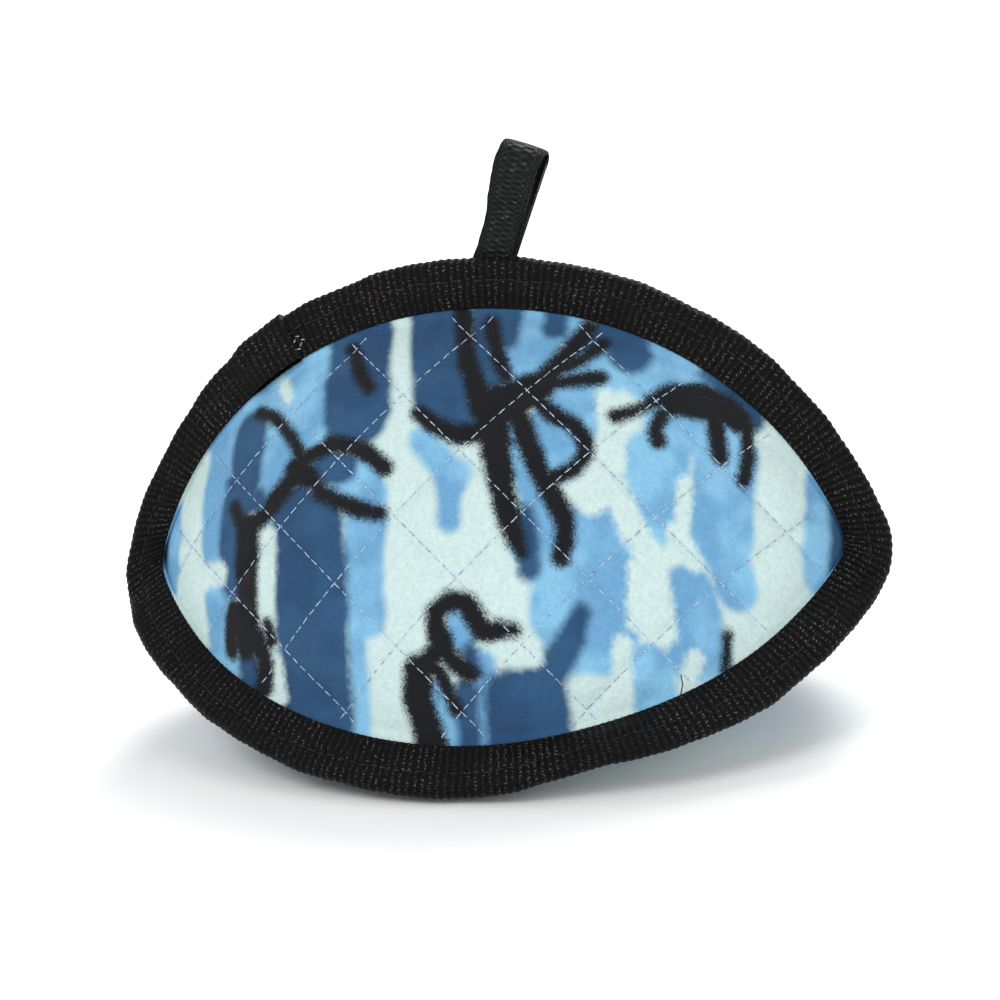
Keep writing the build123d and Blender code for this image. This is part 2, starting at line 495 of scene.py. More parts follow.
class Recipe:
    """A material under construction, with short calls for its nodes."""

    def __init__(self, name: str) -> None:
        """Start an empty material.

        Args:
            name: The finish's name.
        """
        self.material = bpy.data.materials.new(name)
        self.material.use_nodes = True
        self.tree = self.material.node_tree
        self.tree.nodes.clear()
        self.output = self.tree.nodes.new("ShaderNodeOutputMaterial")

    def node(self, kind: str, inputs: dict, **settings: object) -> bpy.types.Node:
        """Add a node.

        Args:
            kind: Blender's node type without its ShaderNode prefix.
            inputs: Values or sockets for its inputs, by name or index.
            settings: The node's own properties.

        Returns:
            The node.
        """
        node = self.tree.nodes.new("ShaderNode" + kind)
        for key, value in settings.items():
            setattr(node, key, value)
        for key, value in inputs.items():
            if isinstance(value, Socket):
                self.tree.links.new(value, node.inputs[key])
            else:
                node.inputs[key].default_value = value
        return node

    def place(self) -> Socket:
        """The piece's own coordinates."""
        return self.node("TexCoord", {}).outputs["Object"]

    def weave_place(self, scale: tuple[float, float]) -> Socket:
        """Coordinates that follow the tape.

        Args:
            scale: Units to the metre along the tape and across it.

        Returns:
            The coordinates.
        """
        source = self.node("UVMap", {}, uv_map="weave")
        stretch = (scale[0], scale[1], 1.0)
        return self.node("Mapping", {"Vector": source.outputs["UV"], "Scale": stretch}).outputs[0]

    def noise(
        self, where: Socket, scale: float, detail: float = 3.0, rough: float = 0.55
    ) -> Socket:
        """Cloudy noise between 0 and 1.

        Args:
            where: Coordinates.
            scale: Cells to the unit.
            detail: Finer layers.
            rough: Strength of the finer layers.

        Returns:
            The noise's value.
        """
        settings = {"Vector": where, "Scale": scale, "Detail": detail, "Roughness": rough}
        return self.node("TexNoise", settings).outputs["Fac"]

    def sum(self, kind: str, first: object, second: object, third: object = 0.0) -> Socket:
        """One arithmetic step, such as ADD, MULTIPLY or MULTIPLY_ADD."""
        return self.node("Math", {0: first, 1: second, 2: third}, operation=kind).outputs[0]

    def ramp(
        self, value: object, low: float, high: float, start: float = 0.0, end: float = 1.0
    ) -> Socket:
        """A value eased from one range into another.

        Args:
            value: The value.
            low: Where the step starts.
            high: Where it ends.
            start: Result below the step.
            end: Result above it.

        Returns:
            The eased value.
        """
        inputs = {"Value": value, 1: low, 2: high, 3: start, 4: end}
        return self.node("MapRange", inputs, interpolation_type="SMOOTHSTEP").outputs[0]

    def mix(self, share: object, first: object, second: object, kind: str = "MIX") -> Socket:
        """Two colours mixed by a share."""
        inputs = {0: share, 6: first, 7: second}
        return self.node("Mix", inputs, data_type="RGBA", blend_type=kind).outputs[2]

    def bump(
        self, height: Socket, strength: float, distance: float, under: object = None
    ) -> Socket:
        """Surface relief.

        Args:
            height: Height from 0 to 1.
            strength: Share of the relief.
            distance: Depth of full relief in metres.
            under: A relief that this one lies on.

        Returns:
            The new normal.
        """
        inputs = {"Strength": strength, "Distance": distance, "Height": height}
        if under is not None:
            inputs["Normal"] = under
        return self.node("Bump", inputs).outputs[0]

    def finish(self, **shader: object) -> bpy.types.Material:
        """Close the material with one cloth-like surface shader.

        Args:
            shader: Values or sockets for the shader, underscores standing for spaces.

        Returns:
            The finished material.
        """
        inputs = {key.replace("_", " "): value for key, value in shader.items()}
        surface = self.node("BsdfPrincipled", inputs)
        self.tree.links.new(surface.outputs[0], self.output.inputs["Surface"])
        return self.material


@dataclass(frozen=True)
class FleeceFinish:
    """Short-pile fleece with a soft-edged printed pattern."""

    mint: Shade = (198, 220, 218)
    blue: Shade = (132, 188, 221)
    deep_blue: Shade = (106, 160, 200)
    steel: Shade = (47, 85, 121)
    deep_steel: Shade = (40, 73, 109)
    black: Shade = (23, 24, 28)

    def layer(self, recipe: Recipe, dye: Dye, edge: Socket, soft: float) -> Socket:
        """Cover of one dye.

        Args:
            recipe: The material under construction.
            dye: The layer of the print.
            edge: How far the pile scatters its edge, in millimetres.
            soft: Half width of the edge's fade, in millimetres.

        Returns:
            The cover, 0 to 1.
        """
        inside = recipe.node("Attribute", {}, attribute_name=dye.value).outputs["Fac"]
        return recipe.ramp(recipe.sum("ADD", inside, edge), -soft, soft)

    def build(self) -> bpy.types.Material:
        """Make the printed fleece, dye over dye, with its pile.

        Returns:
            The material.
        """
        recipe = Recipe("printed_fleece")
        where = recipe.place()
        pile = recipe.noise(where, 2100.0, 4.0, 0.7)
        tuft = recipe.noise(where, 760.0, 3.0)
        cloud = recipe.noise(where, 62.0, 2.0)
        drift = recipe.sum("MULTIPLY_ADD", recipe.noise(where, 150.0, 2.0), 2.0, -1.0)
        fuzz = recipe.sum("MULTIPLY_ADD", tuft, 1.8, -0.9)
        edge = recipe.sum("ADD", drift, fuzz)
        dark_edge = recipe.sum("MULTIPLY_ADD", pile, 5.0, recipe.sum("MULTIPLY_ADD", edge, 0.8, -2.5))
        sky = recipe.mix(recipe.ramp(cloud, 0.38, 0.62), linear(self.blue), linear(self.deep_blue))
        slate = recipe.mix(recipe.ramp(cloud, 0.4, 0.64), linear(self.steel), linear(self.deep_steel))
        mint, black = linear(self.mint), linear(self.black)
        cloth = mint
        for dye, pile_edge, soft, colour in (
            (Dye.BLUE, edge, 1.6, sky),
            (Dye.STEEL, edge, 1.7, slate),
            (Dye.PALE, edge, 1.5, mint),
            (Dye.BLACK, dark_edge, 1.35, black),
        ):
            cloth = recipe.mix(self.layer(recipe, dye, pile_edge, soft), cloth, colour)
        grain = recipe.sum("ADD", pile, recipe.sum("MULTIPLY", tuft, 0.6))
        shade = recipe.ramp(grain, 0.5, 1.1, 0.85, 1.07)
        grey = recipe.node("CombineColor", {0: shade, 1: shade, 2: shade}).outputs[0]
        cloth = recipe.mix(1.0, cloth, grey, "MULTIPLY")
        nap = recipe.bump(recipe.noise(where, 330.0, 3.0), 0.35, 0.5 * MM)
        nap = recipe.bump(pile, 0.5, 0.22 * MM, nap)
        return recipe.finish(
            Base_Color=cloth,
            Roughness=0.95,
            Normal=nap,
            Sheen_Weight=0.06,
            Sheen_Roughness=0.6,
            Specular_IOR_Level=0.12,
        )


@dataclass(frozen=True)
class WebbingFinish:
    """Black ribbed webbing of twisted yarns, with painted shade between the ribs and painted glints on them.
    """

    name: str = "black_webbing"
    low: Shade = (2, 2, 3)
    high: Shade = (18, 17, 17)
    # Colour of the painted glints: pale flecks that stand in for light catching the yarns.
    glint: Shade = (116, 111, 105)
    rib: float = 1.83 * MM
    yarn: float = 0.7 * MM
    dotted: bool = False

    def build(self) -> bpy.types.Material:
        """Make the webbing.

        Returns:
            The material.
        """
        recipe = Recipe(self.name)
        where = recipe.place()
        along = recipe.weave_place((1.0 / self.rib, 1.0 / self.yarn))
        run = recipe.node("SeparateXYZ", {"Vector": along}).outputs[0]
        turn = recipe.sum("MULTIPLY", run, 2.0 * math.pi)
        wave = recipe.sum("COSINE", turn, 0.0)
        if self.dotted:
            side = recipe.sum("MULTIPLY", recipe.node("SeparateXYZ", {"Vector": along}).outputs[1], math.pi)
            wave = recipe.sum("MULTIPLY", wave, recipe.sum("COSINE", side, 0.0))
        crest = recipe.sum("MULTIPLY_ADD", wave, 0.5, 0.5)
        yarns = recipe.noise(recipe.weave_place((2.0 / self.rib, 1.0 / self.yarn)), 1.0, 1.0)
        fibre = recipe.noise(where, 2600.0, 3.0, 0.7)
        # Patches that spread the painted glints unevenly over the tape.
        glint_patches = recipe.noise(where, 95.0, 3.0)
        # Painted light and shade: the rib crests are made lighter and the gaps between the ribs darker, for
        # how light falls on the ribs; the yarn and fibre noise is the tape's own tone.
        lit, plied = recipe.ramp(crest, 0.1, 0.9, 0.25, 1.0), recipe.ramp(yarns, 0.3, 0.7, 0.4, 1.0)
        body = recipe.sum("MULTIPLY", lit, plied)
        tone = recipe.mix(recipe.sum("MULTIPLY_ADD", fibre, 0.3, body), linear(self.low), linear(self.high))
        # Painted glints: pale flecks on the rib crests, for light caught by the yarns.
        painted_glint = recipe.sum("MULTIPLY", recipe.ramp(yarns, 0.55, 0.7), recipe.ramp(crest, 0.45, 0.85))
        painted_glint = recipe.sum("MULTIPLY", painted_glint, recipe.ramp(glint_patches, 0.36, 0.66, 0.15, 0.9))
        tone = recipe.mix(painted_glint, tone, linear(self.glint))
        relief = recipe.bump(crest, 0.9, 0.35 * MM)
        relief = recipe.bump(yarns, 0.9, 0.3 * MM, relief)
        rough = recipe.ramp(fibre, 0.3, 0.7, 0.4, 0.62)
        return recipe.finish(
            Base_Color=tone,
            Roughness=rough,
            Normal=relief,
            Sheen_Weight=0.015,
            Sheen_Roughness=0.4,
            Specular_IOR_Level=0.08,
        )


@dataclass(frozen=True)
class ThreadFinish:
    """Twisted sewing thread."""

    name: str
    shade: Shade
    dark: Shade
    rough: float = 0.5

    def build(self) -> bpy.types.Material:
        """Make the thread.

        Returns:
            The material.
        """
        recipe = Recipe(self.name)
        where = recipe.place()
        ply = recipe.noise(where, 2300.0, 2.0)
        tone = recipe.mix(recipe.ramp(ply, 0.35, 0.65), linear(self.dark), linear(self.shade))
        relief = recipe.bump(ply, 0.5, 0.08 * MM)
        return recipe.finish(
            Base_Color=tone, Roughness=self.rough, Normal=relief, Specular_IOR_Level=0.25
        )


@dataclass(frozen=True)
class FibreFinish:
    """Loose or felted white polyester fibre."""

    name: str
    shade: Shade
    shadow: Shade
    scale: float

    def build(self) -> bpy.types.Material:
        """Make the fibre.

        Returns:
            The material.
        """
        recipe = Recipe(self.name)
        where = recipe.place()
        bend = recipe.node("TexNoise", {"Vector": where, "Scale": self.scale / 3}).outputs["Color"]
        curled = recipe.node("VectorMath", {0: where, 1: bend}, operation="ADD").outputs[0]
        strand = recipe.noise(curled, self.scale, 6.0, 0.75)
        tone = recipe.mix(recipe.ramp(strand, 0.35, 0.6), linear(self.shadow), linear(self.shade))
        relief = recipe.bump(strand, 0.7, 0.8 * MM)
        return recipe.finish(Base_Color=tone, Roughness=0.95, Normal=relief, Sheen_Weight=0.1)


@dataclass(frozen=True)
class BackingFinish:
    """Thin plain-woven backing cloth."""

    shade: Shade = (222, 222, 216)
    gap: Shade = (168, 168, 160)

    def build(self) -> bpy.types.Material:
        """Make the backing cloth.

        Returns:
            The material.
        """
        recipe = Recipe("backing_cloth")
        where = recipe.place()
        checks = [
            recipe.node(
                "TexWave",
                {"Vector": where, "Scale": 330.0, "Distortion": 1.2, "Detail": 2.0},
                bands_direction=way,
            ).outputs["Fac"]
            for way in ("X", "Z")
        ]
        weave = recipe.sum("MULTIPLY", checks[0], checks[1])
        tone = recipe.mix(recipe.ramp(weave, 0.05, 0.6), linear(self.gap), linear(self.shade))
        return recipe.finish(Base_Color=tone, Roughness=0.9, Normal=recipe.bump(weave, 0.4, 0.1 * MM))


@dataclass(frozen=True)
class FloorFinish:
    """Plain pale studio floor."""

    shade: Shade = (255, 255, 255)

    def build(self) -> bpy.types.Material:
        """Make the floor.

        Returns:
            The material.
        """
        recipe = Recipe("studio_floor")
        grain = recipe.noise(recipe.place(), 6.0, 2.0)
        light = linear(self.shade)
        soft = tuple(0.985 * c for c in light[:3]) + (1.0,)
        return recipe.finish(Base_Color=recipe.mix(grain, light, soft), Roughness=0.9)


class Finishes:
    """Every finish, made once."""

    def __init__(self) -> None:
        """Make the finishes."""
        self.fleece = FleeceFinish().build()
        self.webbing = WebbingFinish().build()
        self.loop = WebbingFinish(
            "loop_webbing", high=(40, 43, 41), rib=1.5 * MM, yarn=0.5 * MM, dotted=True
        ).build()
        self.quilting = ThreadFinish("quilting_thread", (206, 220, 236), (112, 140, 172)).build()
        self.black_thread = ThreadFinish("black_thread", (34, 34, 36), (12, 12, 13), 0.45).build()
        self.wadding = FibreFinish("wadding", (228, 228, 222), (190, 190, 182), 260.0).build()
        self.fill = FibreFinish("fibre_fill", (236, 236, 232), (196, 196, 190), 90.0).build()
        self.backing = BackingFinish().build()


def put_in_scene(name: str, data: bpy.types.ID) -> Piece:
    """A new object that shows some data.

    Args:
        name: The object's name.
        data: Its mesh, light or camera.

    Returns:
        The object, linked to the scene.
    """
    thing = bpy.data.objects.new(name, data)
    bpy.context.scene.collection.objects.link(thing)
    return thing


def dress(
    piece: Piece, look: bpy.types.Material, stands_for: tuple[str, ...] = ()
) -> None:
    """Give a piece that keeps still on the toy its finish and its CAD nodes.

    Args:
        piece: The piece.
        look: Its finish.
        stands_for: The CAD nodes that it replaces.
    """
    piece.data.materials.append(look)
    if stands_for:
        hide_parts(*stands_for)
    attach(piece, "toy")


def give_thickness(piece: Piece, thickness: float) -> None:
    """Give a sheet its wall, inwards from its outer face."""
    wall = piece.modifiers.new("cloth_thickness", "SOLIDIFY")
    wall.thickness, wall.offset = thickness, -1.0


def close_ends(piece: Piece) -> None:
    """Fill the open ends of a tape.

    Args:
        piece: The tape.
    """
    bm = bmesh.new()
    bm.from_mesh(piece.data)
    bmesh.ops.holes_fill(bm, edges=[e for e in bm.edges if e.is_boundary], sides=0)
    bmesh.ops.recalc_face_normals(bm, faces=bm.faces)
    bm.to_mesh(piece.data)
    bm.free()


def mapped_sheet(
    name: str,
    cells: tuple[int, int],
    place: Callable[[Points, Points], Points],
    size: tuple[float, float],
    facing: Points | None = None,
) -> Piece:
    """A grid of cells laid onto a surface, its touching borders joined.

    Args:
        name: The piece's name.
        cells: Cells along and across.
        place: Gives the points for places along and across, each 0 to 1.
        size: Length and width of the cloth in metres, for its weave.
        facing: A way that an open sheet faces, or None for a closed skin.

    Returns:
        The piece, linked to the scene.
    """
    bm = bmesh.new()
    bm.loops.layers.uv.new("weave")
    bmesh.ops.create_grid(bm, x_segments=cells[0], y_segments=cells[1], size=0.5, calc_uvs=True)
    mesh = bpy.data.meshes.new(name)
    bm.to_mesh(mesh)
    flat = np.zeros(len(mesh.vertices) * 3)
    mesh.vertices.foreach_get("co", flat)
    flat = flat.reshape(-1, 3)
    points = place(flat[:, 0] + 0.5, flat[:, 1] + 0.5)
    mesh.vertices.foreach_set("co", points.ravel())
    weave = mesh.uv_layers["weave"].uv
    spots = np.zeros(len(weave) * 2)
    weave.foreach_get("vector", spots)
    weave.foreach_set("vector", (spots.reshape(-1, 2) * np.array(size)).ravel())
    bm.clear()
    bm.from_mesh(mesh)
    bmesh.ops.remove_doubles(bm, verts=bm.verts, dist=2e-6)
    bmesh.ops.recalc_face_normals(bm, faces=bm.faces)
    if facing is not None:
        average = sum((f.normal * f.calc_area() for f in bm.faces), Vector())
        if average.dot(Vector(facing)) < 0:
            bmesh.ops.reverse_faces(bm, faces=bm.faces)
    for face in bm.faces:
        face.smooth = True
    bm.to_mesh(mesh)
    bm.free()
    return put_in_scene(name, mesh)


def mesh_points(piece: Piece) -> Points:
    """Every vertex of a piece.

    Args:
        piece: The piece.

    Returns:
        One row for each vertex.
    """
    co = np.zeros(len(piece.data.vertices) * 3)
    piece.data.vertices.foreach_get("co", co)
    return co.reshape(-1, 3)


@dataclass(frozen=True)
class Stitcher:
    """Sews rows of short thread stitches."""

    pitch: float = 3.0 * MM
    shown: float = 2.45 * MM
    width: float = 0.33 * MM
    height: float = 0.28 * MM
    batch: int = 16

    def sew(self, name: str, seats: list[Seat]) -> Piece:
        """A piece with one stitch at each seat.

        Args:
            name: The piece's name.
            seats: Middle, way along and way up of each stitch.

        Returns:
            The piece, linked to the scene.
        """
        mesh = bpy.data.meshes.new(name)
        whole = bmesh.new()
        for start in range(0, len(seats), self.batch):
            bm = bmesh.new()
            for number, seat in enumerate(seats[start : start + self.batch], start):
                matrix = self.seat_matrix(number, *seat)
                bmesh.ops.create_uvsphere(bm, u_segments=6, v_segments=5, radius=1.0, matrix=matrix)
            bm.to_mesh(mesh)
            bm.free()
            whole.from_mesh(mesh)
        for face in whole.faces:
            face.smooth = True
        whole.to_mesh(mesh)
        whole.free()
        return put_in_scene(name, mesh)

    def seat_matrix(self, number: int, middle: Points, along: Points, up: Points) -> Matrix:
        """Where and how one stitch lies, as the change from a unit ball.

        Args:
            number: The stitch's place in its piece, which varies it a little.
            middle: Its middle.
            along: The way along the row.
            up: The way out of the cloth.

        Returns:
            The stitch's matrix.
        """
        forward = Vector(along).normalized()
        side = Vector(up).cross(forward).normalized()
        lift = forward.cross(side)
        forward = (forward + side * 0.06 * math.sin(number * 2.399)).normalized()
        side = lift.cross(forward)
        long = self.shown * (1.0 + 0.08 * math.sin(number * 1.7)) / 2
        axes = Matrix((lift * self.height / 2, side * self.width / 2, forward * long))
        return Matrix.Translation(Vector(middle)) @ axes.transposed().to_4x4()

    def along(self, line: Points, ups: Points) -> list[Seat]:
        """Seats for stitches along a line.

        Args:
            line: Closely spaced points of the line.
            ups: The way up at each of them.

        Returns:
            Middle, way along and way up of each stitch.
        """
        run = running_length(line)
        count = int(run[-1] // self.pitch)
        if count < 1:
            return []
        start = (run[-1] - (count - 1) * self.pitch) / 2
        seats = []
        for number in range(count):
            at = start + number * self.pitch
            back, ahead = (read_at(at + shift, run, line) for shift in (-self.pitch / 3, self.pitch / 3))
            seats.append((read_at(at, run, line), ahead - back, read_at(at, run, ups)))
        return seats


@dataclass(frozen=True)
class Brush:
    """One brush stroke of the print, in millimetres over the flat cloth."""

    half_width: float
    line: Polyline
    end_half_width: float | None = None

    def inside(self, x: Points, y: Points) -> Points:
        """How far places lie inside the stroke, negative outside.

        Args:
            x: Places along the cloth.
            y: Places up the cloth.

        Returns:
            Depth inside in millimetres.
        """
        last = self.half_width if self.end_half_width is None else self.end_half_width
        widths = np.linspace(self.half_width, last, len(self.line))
        if len(self.line) == 1:
            return self.half_width - np.hypot(x - self.line[0][0], y - self.line[0][1])
        best = np.full(x.shape, -1000.0)
        for number in range(len(self.line) - 1):
            (x0, y0), (x1, y1) = self.line[number : number + 2]
            dx, dy = x1 - x0, y1 - y0
            share = np.clip(((x - x0) * dx + (y - y0) * dy) / (dx * dx + dy * dy), 0.0, 1.0)
            gap = np.hypot(x - x0 - share * dx, y - y0 - share * dy)
            wide = widths[number] * (1 - share) + widths[number + 1] * share
            best = np.maximum(best, wide - gap)
        return best


@dataclass(frozen=True)
class Print:
    """The fleece's print: mint cloth with blue and steel patches and black brush marks."""

    repeat: float = 205.0
    spread: dict[Dye, float] = field(
        default_factory=lambda: {Dye.BLUE: 1.3, Dye.STEEL: 1.0, Dye.PALE: 0.2, Dye.BLACK: 0.25}
    )

    def inside(self, dye: Dye, x: Points, y: Points) -> Points:
        """How far places on the flat cloth lie inside one dye.

        Args:
            dye: The dye.
            x: Places along the cloth in millimetres.
            y: Places up the cloth in millimetres.

        Returns:
            Depth inside in millimetres, negative outside.
        """
        best = np.full(x.shape, -1000.0)
        for turn in (-1, 0, 1):
            for brush in PRINT_STROKES[dye]:
                best = np.maximum(best, brush.inside(x + turn * self.repeat, y))
        return np.clip(best + self.spread[dye], -20.0, 20.0)


PRINT_STROKES: dict[Dye, tuple[Brush, ...]] = {
    Dye.BLUE: (
        Brush(5.0, ((-73, 24), (-74, 10), (-74, 0), (-73, -4))),
        Brush(4.5, ((-72, -16), (-71, -24), (-69, -31))),
        Brush(5.0, ((-68, 29), (-62, 34), (-55, 37))),
        Brush(6.5, ((-50, 38), (-46, 30), (-46, 22))),
        Brush(6.5, ((-43, 45), (-43, 30), (-43, 22))),
        Brush(4.2, ((-53, 24), (-54, 14))),
        Brush(5.0, ((-27, 12), (-25, 5))),
        Brush(4.4, ((-24.5, 0), (-25, -12), (-24.5, -24))),
        Brush(1.6, ((-27, -28), (-27, -40), (-27.5, -54))),
        Brush(2.3, ((-10.5, 18.5), (-6.5, 14), (-4, 10))),
        Brush(3.5, ((-2.5, 9), (-3, 3)), 1.8),
        Brush(1.6, ((-3, 1), (-3, -2))),
        Brush(4.2, ((13.5, 58), (13.5, 46), (11, 37))),
        Brush(3.0, ((22, 55), (23.5, 49))),
        Brush(5.5, ((21, 21), (22, 14))),
        Brush(2.4, ((10, 22), (14, 12), (18, 3), (21, -6))),
        Brush(6.0, ((19, -8), (24, -14), (24, -26))),
        Brush(6.0, ((26, 24), (27, 32), (32, 38), (38, 44))),
        Brush(7.5, ((47, 14), (46, 4))),
        Brush(3.0, ((46, 0), (46, -4))),
        Brush(8.0, ((48, 40), (55, 36), (60, 30))),
        Brush(6.0, ((50, 24), (60, 22))),
        Brush(7.6, ((65, 17), (64, 5), (64, -3))),
        Brush(4.6, ((66, -8), (68, -15))),
        Brush(8.4, ((33, -6), (33.5, -18), (33, -29))),
        Brush(6.6, ((55, -19), (57, -29))),
        Brush(4.6, ((55, -34), (60, -32))),
        Brush(4.6, ((45, -36), (46, -45))),
        Brush(3.4, ((93, 14), (93, 0), (92, -9))),
        Brush(4.6, ((100, 12), (100, -8))),
        Brush(3.4, ((-97, 14), (-97, 0), (-98, -9))),
        Brush(3.0, ((-58, 10), (-54, 6))),
        Brush(4.6, ((-38, 11), (-28, 9))),
        Brush(3.0, ((18, 47), (16, 39))),
        Brush(3.0, ((27, 46), (30, 42))),
        Brush(2.4, ((-46, 12), (-50, 14))),
        Brush(3.0, ((39, 37), (43, 34), (47, 32))),
        Brush(1.9, ((4.5, -36), (4.5, -58))),
        Brush(3.0, ((-3, -50), (-2, -59))),
        Brush(2.6, ((0, -26), (0, -30))),
        Brush(4.0, ((22, -24), (26, -34))),
        Brush(2.5, ((-6, -44), (-6, -50))),
    ),
    Dye.STEEL: (
        Brush(5.0, ((-62.5, 27), (-63, 13))),
        Brush(4.0, ((-66, 12), (-66.5, -2), (-66, -12))),
        Brush(10.0, ((-41, -3), (-40, -20), (-40, -36), (-40, -54))),
        Brush(7.0, ((-45, 2), (-44, -10))),
        Brush(8.2, ((-30, 50), (-30, 36), (-28.5, 27))),
        Brush(3.6, ((-36, 14), (-32, 13))),
        Brush(6.2, ((-9, 58), (-8, 42), (-7, 29))),
        Brush(3.6, ((-3, 26), (1, 24))),
        Brush(3.8, ((3, 59), (3, 46), (4, 40))),
        Brush(2.2, ((8, 57), (8, 46))),
        Brush(2.0, ((19, 58), (19.5, 50))),
        Brush(4.2, ((33, 54), (37, 48), (39, 43))),
        Brush(2.2, ((59, 41), (66, 35), (72, 28))),
        Brush(1.9, ((15, -1), (16.5, -14))),
        Brush(6.4, ((12, -45), (12, -58))),
        Brush(5.6, ((18, -43), (19, -56))),
        Brush(3.8, ((20.5, -39), (25, -32), (28.5, -24)), 1.6),
        Brush(3.0, ((-61, -33), (-60, -39))),
        Brush(1.5, ((2, -34), (2, -38))),
        Brush(2.0, ((29, 46), (31, 50))),
        Brush(3.2, ((100, 10), (101, 0), (100, -8))),
        Brush(3.0, ((-4, 31), (2, 34), (6, 36))),
        Brush(3.6, ((-13.5, 58), (-12, 45), (-10, 32))),
        Brush(4.0, ((-27, 54), (-26, 40), (-24.5, 28))),
        Brush(2.0, ((0.5, -43), (0.5, -58))),
        Brush(2.2, ((-64, 6), (-58, 8))),
    ),
    Dye.PALE: (
        Brush(2.9, ((-54, -3), (-53.4, -12), (-54.6, -20))),
        Brush(2.3, ((-52, -34), (-51, -42))),
        Brush(1.7, ((-53.0, 39.5), (-51.2, 35))),
        Brush(1.7, ((-20, 58), (-18.4, 44), (-17, 32), (-16, 24))),
        Brush(1.7, ((54.5, 9), (53.5, -2))),
        Brush(2.2, ((52, -3), (57, -10))),
        Brush(2.4, ((33.5, 30), (35, 22), (37, 12))),
        Brush(3.4, ((31, 3), (37, 6), (42, -4))),
        Brush(3.8, ((45, -9), (47, -19), (48, -27))),
        Brush(2.0, ((42, -12), (42, -26))),
        Brush(2.2, ((38.5, -31), (38, -44))),
        Brush(2.0, ((56.5, -33.5), (54, -40))),
        Brush(2.8, ((-80, -9), (-71.5, -9))),
        Brush(2.2, ((10, -33), (17, -35))),
    ),
    Dye.BLACK: (
        Brush(1.9, ((-60, 32), (-56, 30.5), (-52, 27.5), (-47, 22), (-43, 16))),
        Brush(3.4, ((-45, 14), (-42, 12))),
        Brush(2.3, ((-43, 16), (-36, 19.5), (-29, 18.5), (-24, 15.5), (-20, 11.8))),
        Brush(2.4, ((-42, 12), (-37, 7), (-31, 4), (-26, 2), (-21, 0.6)), 2.0),
        Brush(2.7, ((-44, 13), (-50, 8), (-55, 4), (-59, 1))),
        Brush(1.9, ((-66, 7), (-62, 1))),
        Brush(3.9, ((-60.5, 1), (-60.8, -8), (-61, -16), (-61.5, -24), (-61, -27)), 4.6),
        Brush(3.0, ((-66, -19), (-67, -28))),
        Brush(2.7, ((-58, -26), (-55.5, -31), (-56, -39))),
        Brush(2.0, ((-54, -24), (-53, -28))),
        Brush(1.9, ((-32.5, 47), (-29, 39), (-26, 34))),
        Brush(2.1, ((-12, 26), (-7, 22), (-2, 20), (3, 20), (6, 23)), 3.0),
        Brush(2.0, ((-4.5, 58), (-2.5, 48), (-1, 40), (2, 32), (4, 26)), 2.8),
        Brush(1.8, ((3.5, 53), (6, 43), (9, 35))),
        Brush(6.0, ((8, 27.5), (14, 31), (18, 33)), 3.8),
        Brush(3.0, ((18, 34), (22, 40), (25, 46), (27.5, 51)), 2.2),
        Brush(2.1, ((18, 33), (25, 34.3), (31.5, 35.5))),
        Brush(1.9, ((23, 38), (28, 42), (31.5, 46))),
        Brush(4.2, ((6.5, 24), (8, 15), (9.5, 7), (11, 0), (13.2, -7)), 2.4),
        Brush(1.7, ((13.5, -7), (14.5, -10))),
        Brush(2.8, ((13, 24), (15.5, 17), (18.5, 10), (22, 4), (25, -2), (25, -7), (24, -11)), 2.3),
        Brush(2.2, ((17, 29), (21, 25), (26, 22.5), (29, 19), (29.5, 15), (27, 11), (22, 8.5))),
        Brush(2.6, ((-6, -30), (-6.4, -24), (-3, -21.4), (1.5, -22), (3.5, -26), (5, -29))),
        Brush(2.6, ((5, -29), (9, -28.5), (12.4, -28.5)), 2.0),
        Brush(2.4, ((-5, -30), (-4, -34), (-1, -37), (1.5, -39))),
        Brush(2.8, ((-6, -33), (-9, -36.0), (-12, -37.0))),
        Brush(3.8, ((-11.5, -38), (-11.5, -45), (-10, -53), (-7.5, -60))),
        Brush(2.0, ((-12, -37), (-6, -38))),
        Brush(1.8, ((-5.5, -39), (-4, -44), (-2.5, -48))),
        Brush(1.7, ((36, 25), (41, 27.2), (45, 29.5))),
        Brush(2.4, ((45, 30), (51, 34), (58, 34), (64, 32), (69, 28))),
        Brush(4.2, ((51, 30.5), (56, 30), (63, 29), (67.5, 27)), 3.4),
        Brush(1.9, ((48, 27), (46, 22), (47, 19))),
        Brush(2.6, ((61, 28), (62, 22), (63.5, 17)), 2.2),
        Brush(2.0, ((70, 26), (71, 19), (70, 11.5))),
        Brush(1.4, ((65, -27), (64.5, -37))),
    ),
}


